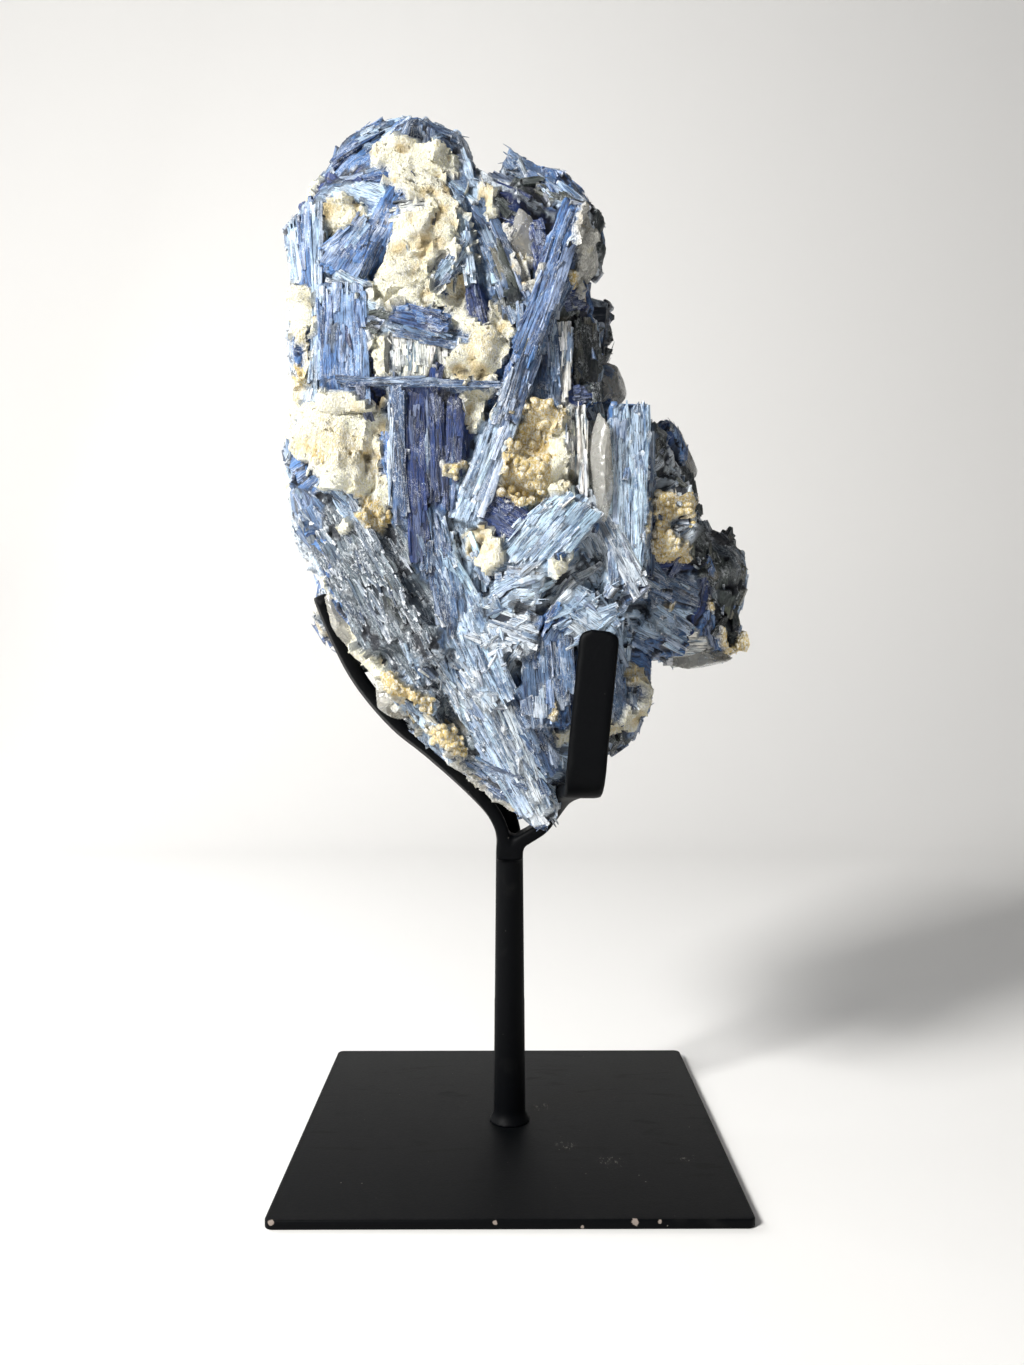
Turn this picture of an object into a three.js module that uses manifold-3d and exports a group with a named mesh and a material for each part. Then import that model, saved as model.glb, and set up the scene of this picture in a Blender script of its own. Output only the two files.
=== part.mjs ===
// A kyanite blade cluster held by a painted steel stand. Millimetres, +Z up.
// The origin is the centre of the base plate's underside, on the post's axis. The best face looks along -Y.
import * as THREE from "three";
import { mergeVertices } from "three/addons/utils/BufferGeometryUtils.js";
import Module from "manifold-3d";

// Driving dimensions of the stand
const PLATE_SIDE = 150;
const PLATE_THICK = 3;
const PLATE_CORNER = 2.5;
const PLATE_BEVEL = 0.6;
const POST_FOOT_RADIUS = 6;
const POST_HEAD_RADIUS = 5.1;
const POST_TOP = 103.5;
const BAR_WIDE = 13;
const BAR_THICK = 4.8;
const BAR_CHAMFER = 0.9;
const BAR_STEPS = 1.75;
const END_CORNER = 3.4;
const BACK_BAR_WIDE = 9.6;
const GAP = 0.3;
const ROOT_Z = POST_TOP + GAP;
const ROOT_X = BAR_THICK / 2 + GAP / 2;
const ROOT_BACK_Y = BAR_WIDE / 2 + GAP + BAR_THICK / 2;

// The specimen's body: how far its rock reaches at each height, before its blades and lumps
const BODY_SECTIONS = [
  { z: 367, left: -49, right: -27, front: -14, back: 8 },
  { z: 359, left: -60, right: -19, front: -22, back: 22 },
  { z: 346, left: -67, right: -11, front: -32, back: 34 },
  { z: 330, left: -75, right: 22, front: -38, back: 40 },
  { z: 306, left: -77, right: 30, front: -41, back: 43 },
  { z: 281, left: -75, right: 30, front: -42, back: 44 },
  { z: 256, left: -79, right: 34, front: -43, back: 44 },
  { z: 233, left: -79, right: 42, front: -43, back: 43 },
  { z: 214, left: -75, right: 48, front: -42, back: 42 },
  { z: 196, left: -63, right: 51, front: -41, back: 41 },
  { z: 178, left: -54, right: 50, front: -39, back: 39 },
  { z: 160, left: -42, right: 46, front: -36, back: 35 },
  { z: 145, left: -31, right: 39, front: -33, back: 28 },
  { z: 133, left: -17, right: 28, front: -31, back: 17 },
  { z: 123, left: -2, right: 18, front: -30, back: -3 },
  { z: 115, left: 7, right: 15, front: -27, back: -17 },
];

// The shoulder that grows out of the body on its right
const SHOULDER_SECTIONS = [
  { z: 260, left: 34, right: 49, front: -24, back: 16 },
  { z: 250, left: 30, right: 57, front: -29, back: 27 },
  { z: 236, left: 30, right: 63, front: -30, back: 34 },
  { z: 220, left: 30, right: 72, front: -28, back: 38 },
  { z: 205, left: 30, right: 80, front: -24, back: 40 },
  { z: 192, left: 34, right: 84, front: -20, back: 40 },
  { z: 183, left: 40, right: 83, front: -15, back: 37 },
  { z: 175, left: 46, right: 74, front: -8, back: 30 },
];

// How far the rock's skin goes in and out, and the size of its lumps
const ROCK_ROUGH = 3;
const ROCK_LUMP = 11;

// Blades on the front. Foot and tip are the ends of the middle line of a blade's broad face,
// and turn is how far that face is turned from the front about the blade's length, in degrees.
const FRONT_BLADES = [
  // Upper left, a fan of blades beside a long edge
  { foot: [-65, -39, 329], tip: [-64, -41, 258], wide: 4, thick: 9, turn: 20 },
  { foot: [-77, -24, 327], tip: [-72, -30, 296], wide: 9, thick: 8, turn: 50 },
  { foot: [-70, -33, 330], tip: [-68, -36, 296], wide: 7, thick: 8, turn: 30 },
  { foot: [-55, -45, 299], tip: [-54, -46, 256], wide: 17, thick: 8, turn: 6 },
  { foot: [-59, -43, 301], tip: [-46, -44, 319], wide: 16, thick: 8, turn: 8 },
  { foot: [-61, -44, 294], tip: [-38, -46, 283], wide: 8, thick: 7, turn: 0 },
  { foot: [-50, -45, 305], tip: [-38, -42, 331], wide: 6, thick: 7, turn: 10 },
  { foot: [-64, -35, 333], tip: [-38, -40, 324], wide: 12, thick: 9, turn: 0 },
  { foot: [-60, -26, 341], tip: [-46, -26, 352], wide: 12, thick: 10, turn: 15 },
  { foot: [-50, -16, 353], tip: [-42, -6, 367], wide: 9, thick: 9, turn: 0 },
  // Upper middle, the long bundle and the blades in the feldspar
  { foot: [-17, -29, 349], tip: [-1, -46, 290], wide: 5, thick: 10, turn: -15 },
  { foot: [-11, -37, 328], tip: [6, -46, 282], wide: 8, thick: 9, turn: -10 },
  { foot: [-20, -22, 358], tip: [-11, -33, 335], wide: 4.5, thick: 9, turn: -20 },
  { foot: [-25, -48, 295], tip: [-14, -46, 311], wide: 5, thick: 8, turn: 0 },
  { foot: [-13, -45, 299], tip: [-8, -46, 277], wide: 5, thick: 8, turn: 0 },
  { foot: [-17, -43, 327], tip: [-13, -46, 297], wide: 4.5, thick: 8, turn: 0 },
  // The middle, short blocks and one thin blade that lies across
  { foot: [-39, -47, 288], tip: [-20, -48, 283], wide: 8, thick: 8, turn: 0 },
  { foot: [-50, -45, 285], tip: [-38, -46, 287], wide: 5, thick: 7, turn: 0 },
  { foot: [-37, -46, 281], tip: [-9, -46, 276], wide: 4, thick: 7, turn: 0 },
  { foot: [-63, -47, 265], tip: [-2, -49, 263], wide: 3, thick: 9, turn: 0 },
  // Upright blades under it
  { foot: [-38, -47, 264], tip: [-36, -47, 218], wide: 5.5, thick: 9, turn: 8 },
  { foot: [-31.5, -46, 264], tip: [-30, -47, 206], wide: 7, thick: 9, turn: 0 },
  { foot: [-25, -46, 263], tip: [-23, -46, 224], wide: 6.5, thick: 8, turn: -6 },
  { foot: [-18, -45, 263], tip: [-19, -46, 232], wide: 6, thick: 8, turn: 0 },
  { foot: [-26, -46, 228], tip: [-18, -45, 178], wide: 9, thick: 9, turn: 6 },
  { foot: [-42, -44, 247], tip: [-36, -45, 226], wide: 5, thick: 7, turn: 0 },
  // The long blade that crosses the face, and its neighbours
  { foot: [22, -46, 325], tip: [-2, -51, 252], wide: 8.5, thick: 10, turn: -6 },
  { foot: [3, -49, 266], tip: [-14, -48, 218], wide: 10, thick: 9, turn: 6 },
  { foot: [27, -41, 317], tip: [8, -45, 277], wide: 7, thick: 9, turn: -25 },
  { foot: [8, -39, 322], tip: [12, -44, 301], wide: 5.5, thick: 8, turn: 0 },
  // Upper right
  { foot: [14, -40, 293], tip: [26, -37, 297], wide: 9, thick: 9, turn: 0 },
  { foot: [12, -44, 284], tip: [13, -45, 259], wide: 8, thick: 9, turn: 0 },
  { foot: [18, -42, 286], tip: [18, -44, 259], wide: 5, thick: 9, turn: -10 },
  { foot: [26, -34, 291], tip: [26, -36, 264], wide: 9, thick: 9, turn: -25 },
  { foot: [16, -43, 261], tip: [30, -40, 263], wide: 6, thick: 9, turn: 0 },
  { foot: [-3, -20, 348], tip: [20, -17, 337], wide: 13, thick: 14, turn: 0 },
  { foot: [30, -12, 332], tip: [31, -14, 312], wide: 12, thick: 10, turn: -60 },
  { foot: [30, -12, 297], tip: [31, -12, 271], wide: 12, thick: 9, turn: -60 },
  // Round the hollow in the middle
  { foot: [-11, -47, 226], tip: [4, -48, 217], wide: 13, thick: 9, turn: 0 },
  { foot: [3, -49, 203], tip: [24, -49, 227], wide: 18, thick: 10, turn: 4 },
  { foot: [-5, -48, 198], tip: [10, -49, 197], wide: 11, thick: 8, turn: 0 },
  { foot: [24, -45, 258], tip: [24, -46, 226], wide: 3, thick: 9, turn: 0 },
  { foot: [19, -44, 257], tip: [20, -45, 236], wide: 4, thick: 8, turn: 0 },
  { foot: [40, -43, 259], tip: [39, -44, 196], wide: 13, thick: 14, turn: -6 },
  { foot: [48, -35, 254], tip: [46, -38, 202], wide: 6, thick: 13, turn: -35 },
  { foot: [26, -45, 228], tip: [44, -44, 195], wide: 7, thick: 9, turn: 0 },
  // Lower left, a broad sheet that ends in the lower edge
  { foot: [-76, -27, 250], tip: [-56, -38, 206], wide: 15, thick: 9, turn: 38 },
  { foot: [-64, -39, 228], tip: [-38, -43, 180], wide: 22, thick: 10, turn: 18 },
  { foot: [-56, -33, 197], tip: [-33, -38, 163], wide: 14, thick: 9, turn: 24 },
  { foot: [-52, -32, 180], tip: [-19, -35, 141], wide: 6, thick: 9, turn: 20 },
  // Lower middle, blades that sweep down to the tip
  { foot: [-24, -46, 208], tip: [-3, -43, 159], wide: 13, thick: 10, turn: 5 },
  { foot: [-21, -41, 173], tip: [8, -31, 124], wide: 12, thick: 10, turn: 15 },
  { foot: [-7, -42, 164], tip: [13, -29, 117], wide: 9, thick: 11, turn: 0 },
  { foot: [3, -41, 164], tip: [17, -33, 132], wide: 8, thick: 9, turn: -12 },
  { foot: [11, -45, 182], tip: [13, -44, 151], wide: 16, thick: 10, turn: 0 },
  { foot: [16, -47, 194], tip: [34, -45, 181], wide: 16, thick: 10, turn: 0 },
  { foot: [-14, -46, 189], tip: [9, -47, 181], wide: 15, thick: 10, turn: 0 },
  { foot: [30, -38, 178], tip: [38, -30, 152], wide: 12, thick: 12, turn: -25 },
  // The shoulder
  { foot: [63, -10, 244], tip: [66, -12, 224], wide: 10, thick: 12, turn: -35 },
  { foot: [69, -9, 224], tip: [83, -4, 195], wide: 13, thick: 12, turn: -40 },
  { foot: [74, -14, 208], tip: [79, -12, 178], wide: 14, thick: 12, turn: -30 },
  { foot: [48, -30, 204], tip: [67, -23, 195], wide: 11, thick: 10, turn: -15 },
  { foot: [48, -27, 190], tip: [64, -20, 181], wide: 13, thick: 10, turn: -15 },
  { foot: [58, -8, 177], tip: [80, -4, 178], wide: 10, thick: 9, turn: 0 },
];

// Lumps of feldspar and rock, as ellipsoids with a rough skin: middle, radii and tilt about Y in degrees
const LUMPS = [
  { at: [-30, -20, 349], radii: [18, 14, 13], tilt: 10 },
  { at: [-31, -36, 315], radii: [18, 11, 20], tilt: 15 },
  { at: [-57, -31, 327], radii: [9, 9, 9], tilt: 0 },
  { at: [-70, -22, 288], radii: [8, 12, 22], tilt: 0 },
  { at: [-58, -36, 243], radii: [16, 10, 19], tilt: -10 },
  { at: [-12, -39, 274], radii: [14, 8, 11], tilt: 0 },
  { at: [11, -1, 327], radii: [21, 28, 25], tilt: 20 },
  { at: [10, -40, 246], radii: [13, 8, 17], tilt: 15 },
  { at: [-4, -42, 208], radii: [9, 6, 9], tilt: 0 },
  { at: [55, -27, 222], radii: [9, 9, 16], tilt: 0 },
  { at: [75, 6, 201], radii: [13, 24, 21], tilt: 0 },
  { at: [40, -8, 160], radii: [11, 20, 19], tilt: 15 },
  { at: [-33, -31, 164], radii: [14, 8, 8], tilt: 40 },
  { at: [-28, -42, 178], radii: [7, 6, 8], tilt: 0 },
  { at: [35, 10, 277], radii: [7, 12, 9], tilt: 0 },
  { at: [61, 8, 252], radii: [6, 12, 13], tilt: -15 },
  { at: [-52, 14, 196], radii: [22, 22, 24], tilt: 35 },
  { at: [-20, 33, 225], radii: [28, 14, 26], tilt: 0 },
  { at: [-34, 33, 318], radii: [24, 15, 22], tilt: 0 },
];

// How far a lump's skin goes in and out, as a share of its radius
const LUMP_ROUGH = 0.13;

// Pits in the front, each a ball taken out of the rock
const PITS = [
  { at: [9, -54, 247], radius: 11 },
  { at: [56, -40, 222], radius: 8 },
  { at: [-30, -37, 350], radius: 6 },
];

// A blade with at least this half width has upright sides below its bevels, and one this wide a raised leaf
const BEVEL_FROM = 4;
const LEAF_FROM = 16;

// Blades on the sides and the back follow a rule: they ring the body in rows, each row at its own slant
const BACK_ROWS = [
  { z: 318, count: 4, slant: 25 },
  { z: 276, count: 4, slant: -20 },
  { z: 234, count: 4, slant: 35 },
  { z: 192, count: 3, slant: -30 },
];
const BACK_START = 30;
const BACK_SWEEP = 114;
const BACK_PROUD = 0.5;
const BACK_LENGTH = 52;
const BACK_WIDE = 17;
const BACK_THICK = 12;

// Vertices this close are one, and faces flatter than this to their neighbours become one with them
const MERGE = 1e-3;
const FLATTEN = 0.13;

const wasm = await Module();
wasm.setup();

// A repeatable number from 0 to 1 for each whole number
function chance(n) {
  const s = Math.sin(n * 12.9898 + 4.1) * 43758.5453;
  return s - Math.floor(s);
}

// Smooth noise from -1 to 1 at a point, one lump to each unit of length
function noise(x, y, z) {
  const [i, j, k] = [Math.floor(x), Math.floor(y), Math.floor(z)];
  const ease = (t) => t * t * (3 - 2 * t);
  const [u, v, w] = [ease(x - i), ease(y - j), ease(z - k)];
  const at = (a, b, c) => chance((i + a) * 157 + (j + b) * 311 + (k + c) * 743);
  const mix = (a, b, t) => a + (b - a) * t;
  const edge = (b, c) => mix(at(0, b, c), at(1, b, c), u);
  return mix(mix(edge(0, 0), edge(1, 0), v), mix(edge(0, 1), edge(1, 1), v), w) * 2 - 1;
}

// A closed solid from a geometry whose faces point outwards
function solidOf(geometry) {
  const bare = geometry.index ? geometry.toNonIndexed() : geometry.clone();
  bare.deleteAttribute("normal");
  bare.deleteAttribute("uv");
  const merged = mergeVertices(bare, MERGE);
  return new wasm.Manifold(
    new wasm.Mesh({
      numProp: 3,
      vertProperties: merged.attributes.position.array,
      triVerts: new Uint32Array(merged.index.array),
    }),
  );
}

// The largest body of a solid, without loose chips and without any hollow that its skin closes in
function largest(solid) {
  return solid.decompose().reduce((best, body) => (body.volume() > best.volume() ? body : best));
}

function geometryOf(solid) {
  const mesh = solid.getMesh();
  return new THREE.BufferGeometry()
    .setAttribute("position", new THREE.BufferAttribute(mesh.vertProperties, 3))
    .setIndex(new THREE.BufferAttribute(mesh.triVerts, 1));
}

// A closed skin over rings of points that all hold the same number, with a flat or pointed cap at each end
function loft(rings) {
  const count = rings[0].length;
  const points = rings.flat();
  const faces = [];
  for (let r = 0; r + 1 < rings.length; r++)
    for (let i = 0; i < count; i++) {
      const [a, b] = [r * count + i, r * count + ((i + 1) % count)];
      faces.push(a, b, b + count, a, b + count, a + count);
    }
  [0, rings.length - 1].forEach((r, end) => {
    const middle = points.length;
    const ring = rings[r];
    points.push(ring.reduce((sum, p) => sum.add(p), new THREE.Vector3()).divideScalar(count));
    for (let i = 0; i < count; i++) {
      const [a, b] = [r * count + i, r * count + ((i + 1) % count)];
      faces.push(middle, ...(end ? [a, b] : [b, a]));
    }
  });
  return new THREE.BufferGeometry().setFromPoints(points).setIndex(faces);
}

// Where the skin of a sectioned body is at an angle from +X and a height between two sections
function skin(sections, angle, z) {
  const last = sections.length - 1;
  let i = sections.findIndex((s) => s.z <= z);
  i = i < 0 ? last : Math.max(i, 1);
  const [upper, lower] = [sections[i - 1], sections[i]];
  const t = THREE.MathUtils.clamp((upper.z - z) / (upper.z - lower.z), 0, 1);
  const at = (key) => THREE.MathUtils.lerp(upper[key], lower[key], t);
  const power = 2 / 2.8;
  const [c, s] = [Math.cos(angle), Math.sin(angle)];
  const [halfX, halfY] = [(at("right") - at("left")) / 2, (at("back") - at("front")) / 2];
  return new THREE.Vector3(
    (at("left") + at("right")) / 2 + halfX * Math.sign(c) * Math.abs(c) ** power,
    (at("front") + at("back")) / 2 + halfY * Math.sign(s) * Math.abs(s) ** power,
    z,
  );
}

// Rough rock through all of its sections, with its skin pushed in and out by smooth noise
function rock(sections, around) {
  const rings = [...sections].reverse().map((section) =>
    Array.from({ length: around }, (_, i) => {
      const p = skin(sections, (i / around) * 2 * Math.PI, section.z);
      const { left, right, front, back, z } = section;
      const out = p.clone().sub(new THREE.Vector3((left + right) / 2, (front + back) / 2, z)).normalize();
      return p.addScaledVector(out, noise(p.x / ROCK_LUMP, p.y / ROCK_LUMP, p.z / ROCK_LUMP) * ROCK_ROUGH);
    }),
  );
  return loft(rings);
}

// One blade: a flat prism with bevelled long edges, a raised leaf on its face, and both ends broken off
function blade({ foot, tip, wide, thick, turn, plain = false }, seed) {
  const start = new THREE.Vector3(...foot);
  const along = new THREE.Vector3(...tip).sub(start);
  const length = along.length();
  along.normalize();
  const out = new THREE.Vector3(0, -1, 0).addScaledVector(along, along.y).normalize();
  out.applyAxisAngle(along, THREE.MathUtils.degToRad(along.z < 0 ? turn : -turn));
  const across = new THREE.Vector3().crossVectors(out, along);
  const prism = (offset, half, top, bottom, from, to, salt) => {
    const slope = Math.min(half * 0.35, 1.3);
    const outline = [
      [-half, bottom],
      [half, bottom],
      ...(half < BEVEL_FROM ? [] : [[half, top - slope]]),
      [half - slope, top],
      [-half + slope, top],
      ...(half < BEVEL_FROM ? [] : [[-half, top - slope]]),
    ];
    const ring = (at, end) =>
      outline.map(([u, v], i) => {
        const ragged = (chance(seed * 31 + i * 7 + end * 3 + salt) - 0.5) * Math.min(half, 5);
        return start
          .clone()
          .addScaledVector(along, at + ragged)
          .addScaledVector(across, u + offset)
          .addScaledVector(out, v);
      });
    return solidOf(loft([ring(from, 0), ring(to, 1)]));
  };
  const body = prism(0, wide / 2, 0, -thick, 0, length, 0);
  if (plain || wide < LEAF_FROM) return body;
  const [a, b, side] = [chance(seed + 0.3), chance(seed + 0.7), chance(seed + 0.5) - 0.5];
  const leaf = prism(side * wide * 0.45, wide * 0.22, 1.1, -2, length * a * 0.3, length * (1 - b * 0.3), 5);
  return body.add(leaf);
}

// A lump: a ball of facets pushed in and out, squashed to its radii and tilted
function lump({ at, radii, tilt }, seed) {
  const ball = new THREE.IcosahedronGeometry(1, 1);
  const position = ball.attributes.position;
  const p = new THREE.Vector3();
  for (let i = 0; i < position.count; i++) {
    p.fromBufferAttribute(position, i);
    p.multiplyScalar(1 + LUMP_ROUGH * noise(p.x * 2.3 + seed * 5, p.y * 2.3, p.z * 2.3));
    position.setXYZ(i, p.x, p.y, p.z);
  }
  ball.scale(...radii);
  ball.rotateY(THREE.MathUtils.degToRad(tilt));
  ball.translate(...at);
  return solidOf(ball);
}

// Blades that ring the sides and the back of the body
function backBlades() {
  const blades = [];
  BACK_ROWS.forEach(({ z, count, slant }, row) => {
    for (let i = 0; i < count; i++) {
      const n = row * 10 + i;
      const angle = THREE.MathUtils.degToRad(BACK_START + (BACK_SWEEP * (i + 0.5)) / count);
      const surface = skin(BODY_SECTIONS, angle, z);
      const lean = THREE.MathUtils.degToRad(slant + (chance(n) - 0.5) * 50);
      const half = (BACK_LENGTH / 2) * (0.75 + 0.5 * chance(n + 100));
      const outward = new THREE.Vector3(Math.cos(angle), Math.sin(angle), 0);
      const level = new THREE.Vector3(-Math.sin(angle), Math.cos(angle), 0);
      const along = level.multiplyScalar(Math.sin(lean)).add(new THREE.Vector3(0, 0, -Math.cos(lean)));
      surface.addScaledVector(outward, BACK_PROUD);
      blades.push({
        foot: surface.clone().addScaledVector(along, -half).toArray(),
        tip: surface.clone().addScaledVector(along, half).toArray(),
        wide: BACK_WIDE * (0.7 + 0.6 * chance(n + 200)),
        thick: BACK_THICK,
        turn: THREE.MathUtils.radToDeg(angle) + 90,
        plain: true,
      });
    }
  });
  return blades;
}

// A flat bar with rounded end corners, swept along stations that give its middle and how its thickness faces
function bar({ stations, wide }, grow) {
  const middles = new THREE.CatmullRomCurve3(
    stations.map((s) => new THREE.Vector3(...s.at)),
    false,
    "centripetal",
  );
  const steps = Math.round((stations.length - 1) * BAR_STEPS);
  const [halfWide, halfThick] = [wide / 2 + grow, BAR_THICK / 2 + grow];
  const length = middles.getLength();
  const stops = Array.from({ length: steps }, (_, i) => i / steps);
  stops.push(...[END_CORNER, END_CORNER * 0.3, 0].map((left) => 1 - left / length));
  const rings = stops.map((t) => {
    const place = t * (stations.length - 1);
    const low = Math.min(Math.floor(place), stations.length - 2);
    const along = t ? middles.getTangent(t) : new THREE.Vector3(0, 0, 1);
    const facing = new THREE.Vector3(...stations[low].facing);
    facing.lerp(new THREE.Vector3(...stations[low + 1].facing), place - low);
    facing.addScaledVector(along, -facing.dot(along)).normalize();
    const across = new THREE.Vector3().crossVectors(facing, along);
    const past = Math.max(0, END_CORNER - (1 - t) * length);
    const w = halfWide - END_CORNER + Math.sqrt(END_CORNER ** 2 - past ** 2);
    const [h, c] = [halfThick, BAR_CHAMFER];
    const outline = [
      [-w, -h + c],
      [-w + c, -h],
      [w - c, -h],
      [w, -h + c],
      [w, h - c],
      [w - c, h],
      [-w + c, h],
      [-w, h - c],
    ];
    const middle = middles.getPoint(t);
    return outline.map(([u, v]) => middle.clone().addScaledVector(across, u).addScaledVector(facing, v));
  });
  return loft(rings);
}

// The left arm leaves the post upwards and lies along the lower left of the stone
const LEFT_ARM = {
  wide: BAR_WIDE,
  stations: [
    { at: [-ROOT_X, 0, ROOT_Z], facing: [-1, 0, 0] },
    { at: [-ROOT_X, 0, 109.5], facing: [-1, -0.05, 0] },
    { at: [-5.4, -0.2, 116.5], facing: [-0.9, -0.1, -0.45] },
    { at: [-11.7, -0.8, 124.2], facing: [-0.7, -0.15, -0.7] },
    { at: [-28.6, -3, 140.1], facing: [-0.65, -0.2, -0.75] },
    { at: [-41.3, -5, 150.7], facing: [-0.68, -0.2, -0.73] },
    { at: [-54.1, -8.5, 166.5], facing: [-0.8, -0.2, -0.55] },
    { at: [-61.4, -11.5, 180.6], facing: [-0.88, -0.2, -0.4] },
    { at: [-68, -14, 197], facing: [-0.92, -0.2, -0.35] },
  ],
};

// The front arm climbs to the right of the tip, turns a quarter as it comes forward, and stands up
const FRONT_ARM = {
  wide: BAR_WIDE,
  stations: [
    { at: [ROOT_X, 0, ROOT_Z], facing: [1, 0, 0] },
    { at: [3.6, 0, 106.8], facing: [0.9, 0, -0.45] },
    { at: [8.2, -0.2, 109.8], facing: [0.5, 0, -0.87] },
    { at: [12.7, -1, 113], facing: [0.6, 0, -0.8] },
    { at: [16.2, -3.5, 117.5], facing: [0.75, -0.05, -0.65] },
    { at: [19, -9.5, 122.6], facing: [0.55, 0.2, -0.8] },
    { at: [21.6, -20, 126.6], facing: [0.15, 0.2, -0.97] },
    { at: [23.3, -33, 129.2], facing: [0, 0.1, -1] },
    { at: [24.2, -44, 130.4], facing: [0, -0.3, -0.95] },
    { at: [24.6, -50.2, 135], facing: [-0.05, -0.95, -0.35] },
    { at: [25.5, -51.6, 146], facing: [-0.12, -1, 0] },
    { at: [27.3, -51.8, 164], facing: [-0.12, -1, 0] },
    { at: [29.2, -51.6, 183], facing: [-0.12, -1, 0] },
  ],
};

// The back arm stands behind the other two and climbs the back of the stone
const BACK_ARM = {
  wide: BACK_BAR_WIDE,
  stations: [
    { at: [0, ROOT_BACK_Y, ROOT_Z], facing: [0, 1, 0] },
    { at: [-0.5, ROOT_BACK_Y + 0.4, 109], facing: [0, 1, 0] },
    { at: [-3, 14, 117], facing: [0, 0.8, -0.6] },
    { at: [-7, 22, 125], facing: [0, 0.7, -0.7] },
    { at: [-11, 32, 136], facing: [0, 0.75, -0.65] },
    { at: [-13, 41, 151], facing: [0, 0.9, -0.4] },
    { at: [-14, 46, 169], facing: [0, 1, -0.15] },
    { at: [-14, 48, 188], facing: [0, 1, -0.05] },
  ],
};

// The whole stone, cut back where the arms lie against it, without any chip that the cut sets free
function specimen() {
  const pieces = [rock(BODY_SECTIONS, 16), rock(SHOULDER_SECTIONS, 10)].map(solidOf);
  pieces.push(...LUMPS.map(lump));
  pieces.push(...[...FRONT_BLADES, ...backBlades()].map(blade));
  let stone = wasm.Manifold.union(pieces);
  PITS.forEach(({ at, radius }) => {
    const ball = new THREE.IcosahedronGeometry(radius, 1);
    ball.translate(...at);
    stone = stone.subtract(solidOf(ball));
  });
  [LEFT_ARM, FRONT_ARM, BACK_ARM].forEach((arm) => {
    stone = stone.subtract(solidOf(bar(arm, GAP)));
  });
  return geometryOf(largest(solidOf(geometryOf(largest(stone.simplify(FLATTEN))))));
}

// The base plate: a square with rounded corners and a fine bevel all round
function basePlate() {
  const half = PLATE_SIDE / 2 - PLATE_BEVEL;
  const corner = PLATE_CORNER;
  const outline = new THREE.Shape();
  outline.moveTo(-half + corner, -half);
  outline.lineTo(half - corner, -half);
  outline.absarc(half - corner, -half + corner, corner, -Math.PI / 2, 0);
  outline.lineTo(half, half - corner);
  outline.absarc(half - corner, half - corner, corner, 0, Math.PI / 2);
  outline.lineTo(-half + corner, half);
  outline.absarc(-half + corner, half - corner, corner, Math.PI / 2, Math.PI);
  outline.lineTo(-half, -half + corner);
  outline.absarc(-half + corner, -half + corner, corner, Math.PI, 1.5 * Math.PI);
  const plate = new THREE.ExtrudeGeometry(outline, {
    depth: PLATE_THICK - 2 * PLATE_BEVEL,
    bevelThickness: PLATE_BEVEL,
    bevelSize: PLATE_BEVEL,
    bevelSegments: 1,
    curveSegments: 3,
  });
  return plate.translate(0, 0, PLATE_BEVEL);
}

// The post: a round rod that thins a little towards its head
function post() {
  const length = POST_TOP - PLATE_THICK - GAP;
  const rod = new THREE.CylinderGeometry(POST_HEAD_RADIUS, POST_FOOT_RADIUS, length, 28, 1);
  return rod.rotateX(Math.PI / 2).translate(0, 0, PLATE_THICK + GAP + length / 2);
}

const stoneBlue = new THREE.MeshStandardMaterial({ color: 0x7f93bd, roughness: 0.6, metalness: 0 });
const blackPaint = new THREE.MeshStandardMaterial({ color: 0x14171a, roughness: 0.45, metalness: 0.2 });

const part = new THREE.Group();
function add(name, geometry, material) {
  const mesh = new THREE.Mesh(geometry, material);
  mesh.name = name;
  part.add(mesh);
}

add("kyanite_cluster", specimen(), stoneBlue);
add("base_plate", basePlate(), blackPaint);
add("post", post(), blackPaint);
add("left_arm", bar(LEFT_ARM, 0), blackPaint);
add("front_arm", bar(FRONT_ARM, 0), blackPaint);
add("back_arm", bar(BACK_ARM, 0), blackPaint);

export default part;
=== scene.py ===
"""The looks of a kyanite blade cluster that bent steel arms hold on a post and a square plate.

Shapes are worked out in millimetres and turned into metres when a mesh is made. +Z is up, the
stone's best face looks along -Y, and the origin is the centre of the plate's underside.
"""

import logging
import math
from dataclasses import dataclass, field
from enum import Enum

import bmesh
import bpy
import numpy as np
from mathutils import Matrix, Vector
from mathutils.bvhtree import BVHTree


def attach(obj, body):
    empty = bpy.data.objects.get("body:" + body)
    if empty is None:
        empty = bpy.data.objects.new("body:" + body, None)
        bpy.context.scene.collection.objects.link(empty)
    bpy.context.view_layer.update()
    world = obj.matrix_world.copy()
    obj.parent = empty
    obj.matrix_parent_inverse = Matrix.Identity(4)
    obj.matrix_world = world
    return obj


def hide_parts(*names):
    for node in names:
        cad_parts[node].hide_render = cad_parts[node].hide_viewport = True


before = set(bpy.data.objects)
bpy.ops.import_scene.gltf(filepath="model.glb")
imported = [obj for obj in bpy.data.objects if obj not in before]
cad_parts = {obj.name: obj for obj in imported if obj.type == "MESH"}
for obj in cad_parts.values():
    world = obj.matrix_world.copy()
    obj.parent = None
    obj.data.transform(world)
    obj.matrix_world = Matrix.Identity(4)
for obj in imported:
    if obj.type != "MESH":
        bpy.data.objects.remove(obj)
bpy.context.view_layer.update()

LOG = logging.getLogger("kyanite")
MM = 0.001
SLIT = 0.004
SEED = 20261127
STONE = "kyanite_cluster"
HASH = np.array([157.0, 311.0, 743.0])
Array = np.ndarray


# Small sums that everything uses


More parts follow.
